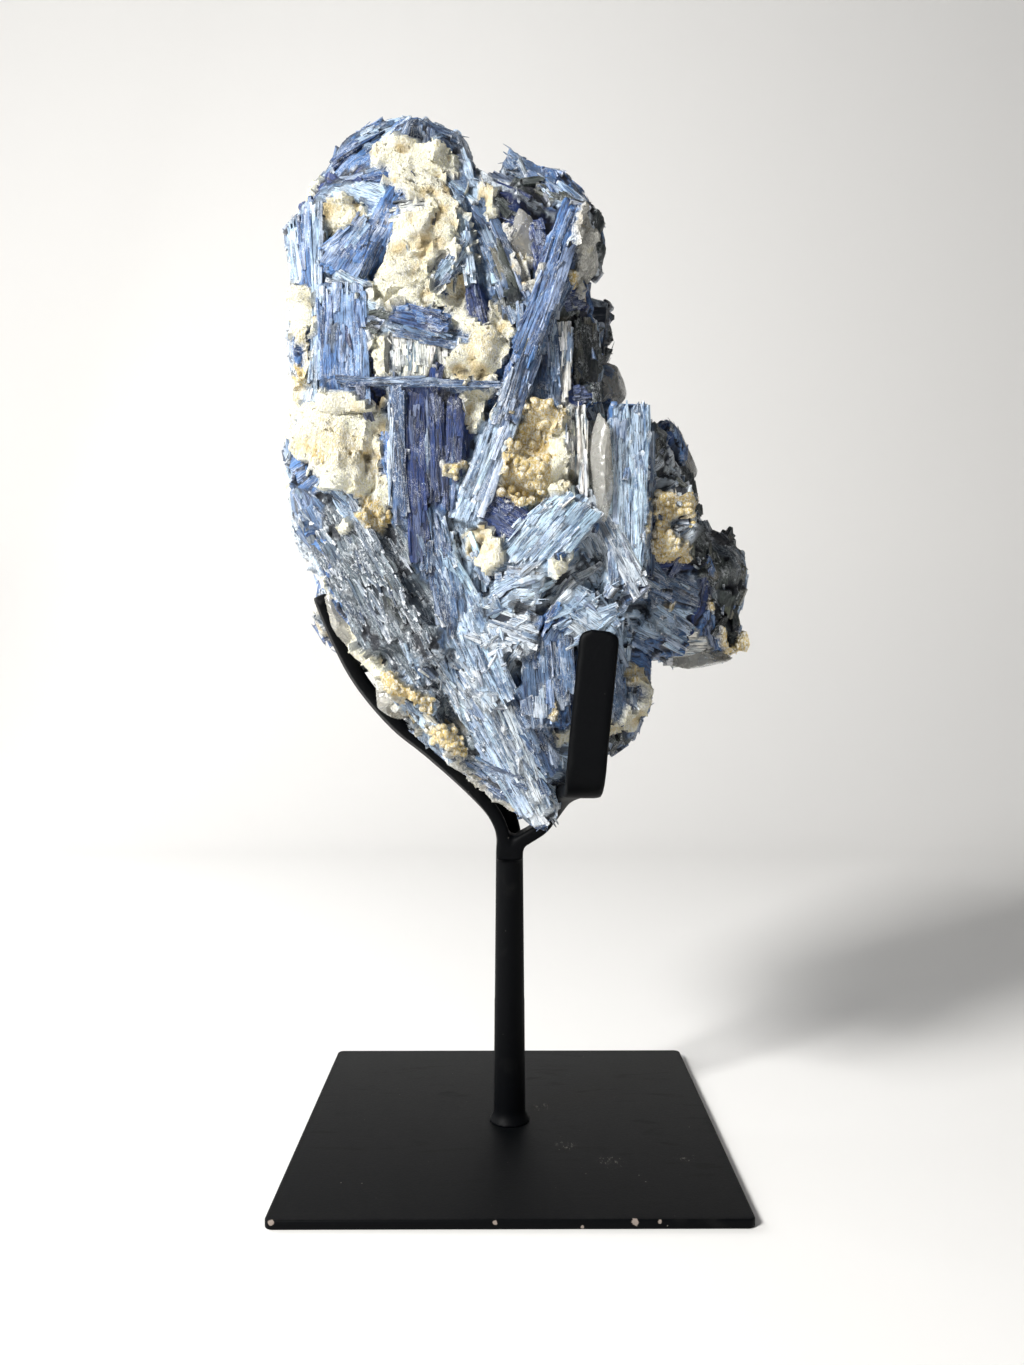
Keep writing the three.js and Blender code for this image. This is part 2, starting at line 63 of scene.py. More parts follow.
def linear(code: str) -> tuple[float, float, float]:
    """A colour written as six hex digits, as linear red, green and blue."""
    parts = [int(code[i : i + 2], 16) / 255 for i in (0, 2, 4)]
    return tuple(c / 12.92 if c < 0.04045 else ((c + 0.055) / 1.055) ** 2.4 for c in parts)


def unit(v: Array) -> Array:
    """Vectors of length one along the last axis."""
    return v / np.maximum(np.linalg.norm(v, axis=-1, keepdims=True), 1e-9)


def chance(n: Array) -> Array:
    """A repeatable number from 0 to 1 for each number given."""
    s = np.sin(n * 12.9898 + 4.1) * 43758.5453
    return s - np.floor(s)


def smooth(low: float, high: float, x: Array) -> Array:
    """0 below low, 1 above high, and an even bend between them."""
    t = np.clip((x - low) / (high - low), 0, 1)
    return t * t * (3 - 2 * t)


def lumpy(points: Array, size: float, salt: float = 0.0) -> Array:
    """Smooth noise from -1 to 1 with one lump to each size of length.

    Args:
        points: Places, one to a row.
        size: The length of one lump, in the same unit.
        salt: Shifts the pattern, so that two layers differ.

    Returns:
        One value for each place.
    """
    q = points / size + salt * 17.31
    cell = np.floor(q)
    f = q - cell
    f = f * f * (3 - 2 * f)
    total = 0.0
    for corner in np.ndindex(2, 2, 2):
        share = np.prod(np.where(np.array(corner) == 1, f, 1 - f), axis=-1)
        total = total + share * chance((cell + corner) @ HASH)
    return total * 2 - 1


def rough(points: Array, size: float, layers: int = 3, salt: float = 0.0) -> Array:
    """Noise in layers, each half the size and a little over half the strength of the one before."""
    return sum(lumpy(points, size / 2**i, salt + i) * 0.55**i for i in range(layers))


def nearest_centre(q: Array) -> tuple[Array, Array, Array]:
    """The nearest of many scattered centres, one to a cell: its distance, its number and the way from it."""
    cell = np.floor(q)
    best = np.full(len(q), 9.0)
    owner = np.zeros(len(q))
    offset = np.zeros_like(q)
    for step in np.ndindex(3, 3, 3):
        there = cell + np.array(step) - 1
        key = there @ HASH
        away = q - there - np.stack([chance(key + k * 0.37) for k in (1, 2, 3)], axis=-1)
        gap = np.linalg.norm(away, axis=-1)
        closer = gap < best
        best[closer], owner[closer], offset[closer] = gap[closer], key[closer], away[closer]
    return best, owner, offset


def pits(points: Array, size: float) -> Array:
    """How far each place is from the nearest of many scattered centres, as a share of size."""
    return nearest_centre(points / size)[0]


def facets(points: Array, size: float, step: float, slant: float, salt: float = 0.0) -> Array:
    """The height of a broken surface, on which each cell is one flat facet.

    Args:
        points: Places, one to a row.
        size: The size of one facet, in the same unit.
        step: The most that a facet stands higher or lower than the mean.
        slant: How steeply facets lean.
        salt: Shifts the pattern.

    Returns:
        One height for each place.
    """
    _, owner, offset = nearest_centre(points / size + salt * 5.3)
    lean = np.stack([chance(owner + k * 0.71) for k in (4, 5, 6)], axis=-1) * 2 - 1
    return (chance(owner + 0.5) * 2 - 1) * step + np.sum(offset * lean, axis=-1) * size * slant


# The photograph's viewpoint


@dataclass(frozen=True)
class Viewpoint:
    """Where the photograph was taken from, in millimetres, degrees and pixels of its frame."""

    eye: tuple[float, float, float] = (-1.2, -405.4, 168.8)
    yaw: float = -0.3
    pitch: float = -0.435
    focal: float = 1092.0
    wide: int = 1024
    high: int = 1365

    def axes(self) -> tuple[Array, Array, Array]:
        """The directions right, up and forward of the camera."""
        yaw, pitch = math.radians(self.yaw), math.radians(self.pitch)
        level = np.array([-math.sin(yaw), math.cos(yaw), 0.0]) * math.cos(pitch)
        forward = level + [0.0, 0.0, math.sin(pitch)]
        right = unit(np.cross(forward, [0.0, 0.0, 1.0]))
        return right, np.cross(right, forward), forward

    def ray(self, px: Array, py: Array) -> Array:
        """Directions from the eye through pixels."""
        right, up, forward = self.axes()
        x = (np.asarray(px, float) - self.wide / 2) / self.focal
        y = (self.high / 2 - np.asarray(py, float)) / self.focal
        return unit(forward + x[..., None] * right + y[..., None] * up)


VIEW = Viewpoint()


# Colours and kinds of mineral


class Kind(Enum):
    """The minerals of the stone, each with its main colour."""

    BLUE = "4A78B2"
    DEEP = "042F6E"
    PALE = "B2CAE2"
    STEEL = "5A769A"
    FROST = "D3DDE6"
    CREAM = "FBF7DC"
    OCHRE = "E0C67E"
    WHITE = "FBF8EE"
    DARK = "39423F"
    SPECKLED = "66727A"
    QUARTZ = "CFCEC6"


@dataclass(frozen=True)
class Habit:
    """How the small blades of a mineral lie in its patches. Lengths are in millimetres.

    Attributes:
        cover: Area of blades laid on each area of patch.
        length: Shortest and longest blade.
        width: Narrowest and widest blade.
        stray: How far blades turn from the patch's grain, in degrees.
        lift: How far their faces stand out of the rock, least and most.
        relief: Height of the steps on their faces.
        frost: How much white their edges and ends carry.
    """

    cover: float
    length: tuple[float, float]
    width: tuple[float, float]
    stray: float
    lift: tuple[float, float]
    relief: float
    frost: float


HABITS = {
    Kind.BLUE: Habit(1.15, (8, 24), (1.6, 5.0), 5, (-0.3, 0.6), 0.10, 0.5),
    Kind.DEEP: Habit(1.1, (9, 24), (1.6, 5.0), 4, (-0.3, 0.5), 0.10, 0.2),
    Kind.PALE: Habit(1.3, (6, 18), (1.2, 4.0), 8, (-0.3, 0.7), 0.12, 0.8),
    Kind.STEEL: Habit(1.2, (7, 19), (1.3, 4.2), 7, (-0.3, 0.7), 0.12, 0.65),
    Kind.FROST: Habit(1.1, (4, 13), (0.9, 3.0), 16, (-0.3, 0.8), 0.16, 0.9),
    Kind.SPECKLED: Habit(0.9, (3, 10), (0.7, 2.2), 12, (-0.3, 0.6), 0.16, 0.9),
    Kind.DARK: Habit(0.9, (5, 13), (1.5, 4.5), 18, (-0.3, 1.0), 0.2, 0.35),
    Kind.WHITE: Habit(1.0, (8, 18), (0.8, 2.2), 2, (-0.2, 0.5), 0.14, 0.6),
    Kind.CREAM: Habit(0.06, (3, 9), (0.5, 1.5), 50, (0.6, 1.6), 0.2, 0.7),
    Kind.OCHRE: Habit(0.04, (3, 7), (0.5, 1.4), 60, (0.6, 1.4), 0.2, 0.4),
    Kind.QUARTZ: Habit(0.05, (4, 9), (0.6, 1.8), 50, (0.6, 1.6), 0.2, 0.6),
}


@dataclass(frozen=True)
class Patch:
    """A patch of one mineral on the front, placed by pixels of the photograph.

    Attributes:
        kind: Its mineral.
        x: Its middle, in pixels from the left.
        y: Its middle, in pixels from the top.
        long: Half its length along the grain.
        broad: Half its breadth across the grain.
        lean: The grain's angle from upright, in degrees, positive where its top leans right.
    """

    kind: Kind
    x: float
    y: float
    long: float
    broad: float
    lean: float = 0.0


FRONT_PATCHES = (
    # Top left, round the peak
    Patch(Kind.PALE, 380, 134, 24, 11, 62),
    Patch(Kind.BLUE, 398, 122, 26, 12, 70),
    Patch(Kind.PALE, 420, 119, 26, 8, 84),
    Patch(Kind.STEEL, 446, 138, 26, 8, -60),
    Patch(Kind.BLUE, 350, 152, 26, 13, 48),
    Patch(Kind.STEEL, 338, 178, 26, 10, 74),
    Patch(Kind.BLUE, 378, 176, 24, 9, 60),
    Patch(Kind.CREAM, 418, 160, 30, 28, 20),
    Patch(Kind.CREAM, 436, 232, 62, 34, 12),
    Patch(Kind.WHITE, 412, 206, 22, 9, 84),
    Patch(Kind.WHITE, 440, 262, 24, 9, 40),
    Patch(Kind.CREAM, 346, 210, 28, 22, 20),
    Patch(Kind.BLUE, 382, 236, 44, 9, 22),
    Patch(Kind.PALE, 303, 226, 32, 10, 22),
    Patch(Kind.BLUE, 310, 262, 34, 12, -14),
    Patch(Kind.BLUE, 345, 248, 28, 18, 62),
    Patch(Kind.PALE, 350, 282, 26, 12, -58),
    # The broad panel and the left edge
    Patch(Kind.BLUE, 336, 340, 58, 16, 2),
    Patch(Kind.DEEP, 358, 350, 50, 12, -12),
    Patch(Kind.FROST, 371, 318, 34, 4, -2),
    Patch(Kind.CREAM, 303, 330, 48, 10),
    Patch(Kind.OCHRE, 301, 372, 14, 8),
    Patch(Kind.CREAM, 404, 290, 44, 16, 80),
    # Blocks across the middle
    Patch(Kind.BLUE, 418, 314, 30, 9, 84),
    Patch(Kind.DARK, 374, 322, 16, 7, 86),
    Patch(Kind.STEEL, 434, 334, 30, 6, -72),
    Patch(Kind.WHITE, 420, 356, 24, 27),
    Patch(Kind.CREAM, 380, 354, 24, 9),
    Patch(Kind.CREAM, 474, 350, 40, 22, 24),
    Patch(Kind.CREAM, 456, 296, 32, 12),
    # The long bundle and the top right
    Patch(Kind.STEEL, 486, 238, 98, 12, -21),
    Patch(Kind.DARK, 508, 300, 48, 9, -22),
    Patch(Kind.PALE, 474, 226, 86, 5, -22),
    Patch(Kind.CREAM, 490, 204, 28, 11, -20),
    Patch(Kind.QUARTZ, 520, 262, 46, 14, -12),
    Patch(Kind.STEEL, 520, 172, 26, 13, -52),
    Patch(Kind.DARK, 536, 190, 32, 12, -70),
    Patch(Kind.PALE, 560, 194, 26, 10, -58),
    Patch(Kind.FROST, 528, 206, 26, 5, -80),
    Patch(Kind.QUARTZ, 586, 250, 40, 12),
    Patch(Kind.OCHRE, 573, 278, 14, 7),
    Patch(Kind.DEEP, 580, 304, 14, 12, 70),
    Patch(Kind.FROST, 560, 262, 30, 7, 20),
    # The long crossing blade, and right of it
    Patch(Kind.BLUE, 527, 340, 112, 12, 21),
    Patch(Kind.PALE, 486, 446, 56, 13, 22),
    Patch(Kind.STEEL, 560, 350, 44, 12, 4),
    Patch(Kind.DARK, 586, 362, 40, 14),
    # Uprights in the middle
    Patch(Kind.STEEL, 394, 440, 62, 6, 1),
    Patch(Kind.DEEP, 430, 424, 52, 20),
    Patch(Kind.STEEL, 420, 496, 76, 11, -2),
    Patch(Kind.BLUE, 452, 450, 54, 8, 2),
    Patch(Kind.CREAM, 482, 402, 24, 16),
    Patch(Kind.OCHRE, 454, 474, 12, 9),
    Patch(Kind.STEEL, 436, 556, 60, 14, -8),
    # Left, the nodular cream and what lies under it
    Patch(Kind.CREAM, 336, 440, 44, 42),
    Patch(Kind.OCHRE, 322, 452, 14, 14),
    Patch(Kind.OCHRE, 372, 508, 28, 12, -12),
    Patch(Kind.CREAM, 366, 470, 34, 22, -20),
    Patch(Kind.BLUE, 386, 462, 20, 8, -10),
    Patch(Kind.STEEL, 296, 494, 56, 14, -22),
    Patch(Kind.PALE, 348, 506, 34, 14, -44),
    Patch(Kind.SPECKLED, 348, 566, 66, 32, -38),
    Patch(Kind.SPECKLED, 396, 590, 60, 30, -30),
    Patch(Kind.CREAM, 352, 528, 12, 10),
    Patch(Kind.DARK, 398, 612, 30, 10, -32),
    Patch(Kind.SPECKLED, 330, 610, 44, 14, -34),
    # Middle right, round the hollow
    Patch(Kind.OCHRE, 528, 452, 50, 32, 12),
    Patch(Kind.CREAM, 558, 470, 30, 14),
    Patch(Kind.DEEP, 494, 508, 32, 15, -52),
    Patch(Kind.CREAM, 484, 544, 26, 22),
    Patch(Kind.PALE, 548, 524, 50, 26, 42),
    Patch(Kind.WHITE, 578, 452, 50, 12),
    Patch(Kind.QUARTZ, 602, 466, 60, 12),
    Patch(Kind.PALE, 628, 484, 82, 17, 2),
    Patch(Kind.STEEL, 650, 500, 66, 9, -4),
    Patch(Kind.FROST, 600, 548, 40, 12, -28),
    # Right, dark rock and the far shoulder
    Patch(Kind.DARK, 664, 452, 34, 18, -10),
    Patch(Kind.OCHRE, 666, 524, 50, 27, 4),
    Patch(Kind.DARK, 698, 498, 32, 9, -8),
    Patch(Kind.DARK, 700, 548, 34, 16, -18),
    Patch(Kind.SPECKLED, 712, 580, 34, 14, -30),
    Patch(Kind.OCHRE, 708, 606, 9, 6),
    Patch(Kind.DARK, 722, 590, 56, 16, -12),
    Patch(Kind.DARK, 736, 600, 40, 10, 4),
    Patch(Kind.OCHRE, 738, 640, 10, 8),
    Patch(Kind.OCHRE, 722, 644, 16, 12),
    Patch(Kind.WHITE, 690, 662, 34, 8, 84),
    Patch(Kind.STEEL, 660, 596, 40, 18, -60),
    Patch(Kind.PALE, 640, 628, 36, 20, -56),
    Patch(Kind.OCHRE, 672, 606, 10, 8),
    # Lower middle
    Patch(Kind.PALE, 512, 588, 40, 18, 62),
    Patch(Kind.FROST, 560, 588, 30, 14, 50),
    Patch(Kind.CREAM, 562, 562, 20, 9, 70),
    Patch(Kind.PALE, 592, 612, 46, 22, 58),
    Patch(Kind.FROST, 500, 646, 34, 22, 30),
    Patch(Kind.BLUE, 556, 622, 24, 14, 30),
    Patch(Kind.BLUE, 556, 684, 50, 22),
    Patch(Kind.OCHRE, 548, 706, 12, 7),
    Patch(Kind.PALE, 470, 600, 74, 26, -20),
    Patch(Kind.FROST, 470, 690, 54, 20, -30),
    Patch(Kind.PALE, 500, 740, 76, 22, -36),
    Patch(Kind.STEEL, 530, 752, 66, 13, -30),
    Patch(Kind.SPECKLED, 446, 720, 60, 14, -40),
    Patch(Kind.DARK, 572, 776, 34, 8, -20),
    Patch(Kind.FROST, 532, 812, 16, 12, -30),
    # The shaded underside on the left, and the rock right of the front arm
    Patch(Kind.OCHRE, 412, 700, 50, 16, -42),
    Patch(Kind.QUARTZ, 392, 694, 54, 14, -40),
    Patch(Kind.QUARTZ, 328, 640, 40, 12, -20),
    Patch(Kind.CREAM, 378, 655, 30, 9, -35),
    Patch(Kind.OCHRE, 436, 735, 38, 9, -45),
    Patch(Kind.QUARTZ, 462, 766, 60, 17, -45),
    Patch(Kind.CREAM, 500, 812, 26, 8, -40),
    Patch(Kind.STEEL, 630, 700, 46, 16, -6),
    Patch(Kind.OCHRE, 634, 676, 14, 8),
    Patch(Kind.DARK, 612, 740, 20, 12),
)


# The stone's main forms, as in the solids


@dataclass(frozen=True)
class Section:
    """How far a body of rock reaches at one height."""

    z: float
    left: float
    right: float
    front: float
    back: float


BODY = (
    Section(367, -49, -27, -14, 8),
    Section(359, -60, -19, -22, 22),
    Section(346, -67, -11, -32, 34),
    Section(330, -75, 22, -38, 40),
    Section(306, -77, 30, -41, 43),
    Section(281, -75, 30, -42, 44),
    Section(256, -79, 34, -43, 44),
    Section(233, -79, 42, -43, 43),
    Section(214, -75, 48, -42, 42),
    Section(196, -63, 51, -41, 41),
    Section(178, -54, 50, -39, 39),
    Section(160, -42, 46, -36, 35),
    Section(145, -31, 39, -33, 28),
    Section(133, -17, 28, -31, 17),
    Section(123, -2, 18, -30, -3),
    Section(115, 7, 15, -27, -17),
)
SHOULDER = (
    Section(260, 34, 49, -24, 16),
    Section(250, 30, 57, -29, 27),
    Section(236, 30, 63, -30, 34),
    Section(220, 30, 72, -28, 38),
    Section(205, 30, 80, -24, 40),
    Section(192, 34, 84, -20, 40),
    Section(183, 40, 83, -15, 37),
    Section(175, 46, 74, -8, 30),
)


@dataclass(frozen=True)
class Lump:
    """A rough ellipsoid of rock, with its tilt about Y in degrees."""

    at: tuple[float, float, float]
    radii: tuple[float, float, float]
    tilt: float = 0.0

    def placed(self, form: Array) -> Array:
        """A form of about radius one, at the lump's size, tilt and place."""
        a = math.radians(self.tilt)
        turn = np.array([[math.cos(a), 0, math.sin(a)], [0, 1, 0], [-math.sin(a), 0, math.cos(a)]])
        return (form * np.array(self.radii)) @ turn.T + self.at


LUMPS = (
    Lump((-30, -20, 349), (18, 14, 13), 10),
    Lump((-31, -36, 315), (18, 11, 20), 15),
    Lump((-57, -31, 327), (9, 9, 9)),
    Lump((-70, -22, 288), (8, 12, 22)),
    Lump((-58, -36, 243), (16, 10, 19), -10),
    Lump((-12, -39, 274), (14, 8, 11)),
    Lump((11, -1, 327), (21, 28, 25), 20),
    Lump((10, -40, 246), (13, 8, 17), 15),
    Lump((-4, -42, 208), (9, 6, 9)),
    Lump((55, -27, 222), (9, 9, 16)),
    Lump((75, 6, 201), (13, 24, 21)),
    Lump((40, -8, 160), (11, 20, 19), 15),
    Lump((-33, -31, 164), (14, 8, 8), 40),
    Lump((-28, -42, 178), (7, 6, 8)),
    Lump((35, 10, 277), (7, 12, 9)),
    Lump((61, 8, 252), (6, 12, 13), -15),
    Lump((-52, 14, 196), (22, 22, 24), 35),
    Lump((-20, 33, 225), (28, 14, 26)),
    Lump((-34, 33, 318), (24, 15, 22)),
)
PITS = (((9, -54, 247), 11.0), ((56, -40, 222), 8.0), ((-30, -37, 350), 6.0))


@dataclass(frozen=True)
class Blade:
    """One main blade: the ends of the middle line of its broad face, its size, its turn and mineral.

    A rough one shows as broken rock with small blades, and has no broad face of its own.
    """

    foot: tuple[float, float, float]
    tip: tuple[float, float, float]
    wide: float
    thick: float
    turn: float
    kind: Kind
    rough: bool = False

    def frame(self) -> tuple[Array, Array, Array, Array, float]:
        """The middle of its face, the directions along, across and out of it, and its length."""
        foot, tip = np.array(self.foot, float), np.array(self.tip, float)
        length = float(np.linalg.norm(tip - foot))
        along = (tip - foot) / length
        out = unit(np.array([0.0, -1.0, 0.0]) + along * along[1])
        turn = math.radians(self.turn if along[2] < 0 else -self.turn)
        out = out * math.cos(turn) + np.cross(along, out) * math.sin(turn)
        return (foot + tip) / 2, along, np.cross(out, along), out, length


FRONT_BLADES = (
    # Upper left, a fan of blades beside a long edge
    Blade((-65, -39, 329), (-64, -41, 258), 4, 9, 20, Kind.PALE),
    Blade((-77, -24, 327), (-72, -30, 296), 9, 8, 50, Kind.PALE),
    Blade((-70, -33, 330), (-68, -36, 296), 7, 8, 30, Kind.BLUE),
    Blade((-55, -45, 299), (-54, -46, 256), 17, 8, 6, Kind.BLUE),
    Blade((-59, -43, 301), (-46, -44, 319), 16, 8, 8, Kind.BLUE),
    Blade((-61, -44, 294), (-38, -46, 283), 8, 7, 0, Kind.PALE),
    Blade((-50, -45, 305), (-38, -42, 331), 6, 7, 10, Kind.BLUE),
    Blade((-64, -35, 333), (-38, -40, 324), 12, 9, 0, Kind.PALE, True),
    Blade((-60, -26, 341), (-46, -26, 352), 12, 10, 15, Kind.BLUE, True),
    Blade((-50, -16, 353), (-42, -6, 367), 9, 9, 0, Kind.STEEL),
    # Upper middle, the long bundle and the blades in the feldspar
    Blade((-17, -29, 349), (-1, -46, 290), 5, 10, -15, Kind.PALE),
    Blade((-12, -38, 330), (6, -47, 282), 10, 9, -10, Kind.STEEL),
    Blade((-6, -43, 312), (7, -47, 279), 5, 8, -18, Kind.DARK),
    Blade((-20, -22, 358), (-11, -33, 335), 4.5, 9, -20, Kind.STEEL),
    Blade((-25, -48, 295), (-14, -46, 311), 5, 8, 0, Kind.STEEL),
    Blade((-13, -45, 299), (-8, -46, 277), 5, 8, 0, Kind.DEEP),
    Blade((-17, -43, 327), (-13, -46, 297), 4.5, 8, 0, Kind.PALE),
    # The middle, short blocks and one thin blade that lies across
    Blade((-39, -47, 288), (-20, -48, 283), 8, 8, 0, Kind.BLUE),
    Blade((-50, -45, 285), (-38, -46, 287), 5, 7, 0, Kind.DARK),
    Blade((-37, -46, 281), (-9, -46, 276), 4, 7, 0, Kind.STEEL),
    Blade((-63, -47, 265), (-2, -49, 263), 3, 9, 0, Kind.STEEL),
    Blade((-34, -45, 281), (-34, -45.5, 266), 18, 7, 0, Kind.WHITE),
    # Upright blades under it
    Blade((-38, -47, 264), (-36, -47, 218), 5.5, 9, 8, Kind.STEEL),
    Blade((-31.5, -46, 264), (-30, -47, 206), 7, 9, 0, Kind.DEEP),
    Blade((-25, -46, 263), (-23, -46, 224), 6.5, 8, -6, Kind.DEEP),
    Blade((-18, -45, 263), (-19, -46, 232), 6, 8, 0, Kind.DEEP),
    Blade((-26, -46, 228), (-18, -45, 178), 9, 9, 6, Kind.STEEL),
    Blade((-42, -44, 247), (-36, -45, 226), 5, 7, 0, Kind.BLUE),
    # The long blade that crosses the face, and its neighbours
    Blade((22, -46, 325), (4, -50.2, 270), 8.5, 10, -6, Kind.BLUE),
    Blade((9, -48.6, 285), (-2, -50.6, 252), 8.5, 10, -6, Kind.STEEL),
    Blade((3, -49, 266), (-14, -48, 218), 10, 9, 6, Kind.PALE),
    Blade((27, -41, 317), (8, -45, 277), 7, 9, -25, Kind.STEEL),
    Blade((8, -39, 322), (12, -44, 301), 5.5, 8, 0, Kind.DEEP),
    # Upper right
    Blade((14, -40, 293), (26, -37, 297), 9, 9, 0, Kind.DEEP),
    Blade((12, -44, 284), (13, -45, 259), 8, 9, 0, Kind.STEEL),
    Blade((18, -42, 286), (18, -44, 259), 5, 9, -10, Kind.WHITE),
    Blade((26, -34, 291), (26, -36, 264), 9, 9, -25, Kind.DARK),
    Blade((16, -43, 261), (30, -40, 263), 6, 9, 0, Kind.DEEP),
    Blade((-3, -20, 348), (20, -17, 337), 13, 14, 0, Kind.STEEL, True),
    Blade((30, -12, 332), (31, -14, 312), 12, 10, -60, Kind.DARK),
    Blade((30, -12, 297), (31, -12, 271), 12, 9, -60, Kind.DARK),
    # Round the hollow in the middle
    Blade((-11, -47, 226), (4, -48, 217), 13, 9, 0, Kind.DEEP),
    Blade((3, -49, 203), (24, -49, 227), 18, 10, 4, Kind.PALE),
    Blade((-5, -48, 198), (10, -49, 197), 11, 8, 0, Kind.PALE, True),
    Blade((24, -45, 258), (24, -46, 226), 3, 9, 0, Kind.WHITE),
    Blade((19, -44, 257), (20, -45, 236), 4, 8, 0, Kind.CREAM),
    Blade((40, -43, 259), (39, -44, 196), 13, 14, -6, Kind.PALE),
    Blade((48, -35, 254), (46, -38, 202), 6, 13, -35, Kind.STEEL),
    Blade((26, -45, 228), (44, -44, 195), 7, 9, 0, Kind.FROST),
    # Lower left, a broad sheet that ends in the lower edge
    Blade((-76, -27, 250), (-56, -38, 206), 15, 9, 38, Kind.STEEL, True),
    Blade((-64, -39, 228), (-38, -43, 180), 22, 10, 18, Kind.SPECKLED, True),
    Blade((-56, -33, 197), (-33, -38, 163), 14, 9, 24, Kind.SPECKLED, True),
    Blade((-52, -32, 180), (-19, -35, 141), 6, 9, 20, Kind.CREAM, True),
    # Lower middle, blades that sweep down to the tip
    Blade((-24, -46, 208), (-3, -43, 159), 13, 10, 5, Kind.PALE, True),
    Blade((-21, -41, 173), (8, -31, 124), 12, 10, 15, Kind.PALE, True),
    Blade((-7, -42, 164), (13, -29, 117), 9, 11, 0, Kind.FROST),
    Blade((3, -41, 164), (17, -33, 132), 8, 9, -12, Kind.STEEL),
    Blade((11, -45, 182), (13, -44, 151), 16, 10, 0, Kind.STEEL),
    Blade((16, -47, 194), (34, -45, 181), 16, 10, 0, Kind.PALE, True),
    Blade((-14, -46, 189), (9, -47, 181), 15, 10, 0, Kind.FROST, True),
    Blade((30, -38, 178), (38, -30, 152), 12, 12, -25, Kind.STEEL, True),
    # The shoulder
    Blade((63, -10, 244), (66, -12, 224), 10, 12, -35, Kind.DARK),
    Blade((69, -9, 224), (83, -4, 195), 13, 12, -40, Kind.SPECKLED),
    Blade((74, -14, 208), (79, -12, 178), 14, 12, -30, Kind.DARK, True),
    Blade((48, -30, 204), (67, -23, 195), 11, 10, -15, Kind.STEEL, True),
    Blade((48, -27, 190), (64, -20, 181), 13, 10, -15, Kind.PALE, True),
    Blade((58, -8, 177), (80, -4, 178), 10, 9, 0, Kind.WHITE),
)


# Rough forms


def skin(sections: tuple[Section, ...], angle: Array, z: float) -> Array:
    """Where a sectioned body's skin is, at angles from +X and one height."""
    ordered = sorted(sections, key=lambda s: s.z)
    heights = [s.z for s in ordered]
    sides = ("left", "right", "front", "back")
    left, right, front, back = (np.interp(z, heights, [getattr(s, key) for s in ordered]) for key in sides)
    c, s = np.cos(angle), np.sin(angle)
    power = 2 / 2.8
    x = (left + right) / 2 + (right - left) / 2 * np.sign(c) * np.abs(c) ** power
    y = (front + back) / 2 + (back - front) / 2 * np.sign(s) * np.abs(s) ** power
    return np.stack([x, y, np.full_like(x, z)], axis=-1)


@dataclass(frozen=True)
class Row:
    """A row of blades that ring the sides and the back, at one height and slant in degrees.

    Attributes:
        z: The height of their middles.
        count: How many there are.
        slant: How far they lean, each also by a chance of its own.
        start: The angle from +X at which the row starts.
        sweep: The angle that it covers.
        length: The usual length of a blade.
        width: The usual width of a blade.
        proud: How far the faces stand out of the body.
        salt: Shifts the row's chances.
        sloped: Whether they lean with the body where it narrows.
    """

    z: float
    count: int
    slant: float
    start: float = 30.0
    sweep: float = 114.0
    length: float = 52.0
    width: float = 17.0
    proud: float = 0.5
    salt: int = 0
    sloped: bool = False

    def blades(self) -> list[Blade]:
        """The row's blades."""
        kinds = (Kind.BLUE, Kind.PALE, Kind.STEEL, Kind.DEEP, Kind.PALE, Kind.FROST, Kind.BLUE, Kind.STEEL)
        made = []
        for i in range(self.count):
            n = self.salt + i
            angle = math.radians(self.start + self.sweep * (i + 0.5) / self.count)
            surface = skin(BODY, np.array([angle]), self.z)[0]
            lean = math.radians(self.slant + (chance(n) - 0.5) * 50)
            half = self.length / 2 * (0.75 + 0.5 * chance(n + 100))
            outward = np.array([math.cos(angle), math.sin(angle), 0.0])
            level = np.array([-math.sin(angle), math.cos(angle), 0.0])
            down = np.array([0.0, 0.0, -1.0])
            if self.sloped:
                ends = [skin(BODY, np.array([angle]), self.z + step)[0] for step in (-9, 9)]
                down = unit(ends[0] - ends[1])
            along = unit(level * math.sin(lean) + down * math.cos(lean))
            surface = surface + outward * self.proud
            wide = self.width * (0.7 + 0.6 * chance(n + 200))
            kind = kinds[int(chance(n + 300) * len(kinds))]
            ends = (tuple(surface - along * half), tuple(surface + along * half))
            made.append(Blade(*ends, wide, 9.0, math.degrees(angle) + 90, kind))
        return made


BACK_ROWS = (
    Row(318, 4, 25),
    Row(276, 4, -20, salt=10),
    Row(234, 4, 35, salt=20),
    Row(192, 3, -30, salt=30),
    Row(340, 4, -35, sweep=130, length=22, width=8, proud=0.4, salt=400, sloped=True),
    Row(297, 6, -10, start=5, sweep=165, length=32, width=8, proud=0.8, salt=450, sloped=True),
    Row(256, 6, 15, start=15, sweep=155, length=34, width=9, proud=0.8, salt=500, sloped=True),
    Row(214, 5, -15, sweep=125, length=34, width=9, proud=0.8, salt=550, sloped=True),
    Row(170, 5, 20, sweep=130, length=28, width=8, proud=0.4, salt=600, sloped=True),
    Row(148, 4, -15, start=40, sweep=110, length=20, width=7, salt=650, proud=0.3, sloped=True),
)
BLADES = FRONT_BLADES + tuple(blade for row in BACK_ROWS for blade in row.blades())


def ring_faces(rings: int, around: int) -> list[tuple[int, ...]]:
    """Quads of a closed tube of rings, and one face over each end."""
    faces = []
    for r in range(rings - 1):
        for i in range(around):
            a, b = r * around + i, r * around + (i + 1) % around
            faces.append((a, b, b + around, a + around))
    faces.append(tuple(reversed(range(around))))
    faces.append(tuple((rings - 1) * around + i for i in range(around)))
    return faces


def new_mesh(name: str, points: Array, faces: list[tuple[int, ...]]) -> bpy.types.Mesh:
    """A mesh in metres, from corners in millimetres."""
    mesh = bpy.data.meshes.new(name)
    mesh.from_pydata((points * MM).tolist(), [], faces)
    mesh.update()
    return mesh


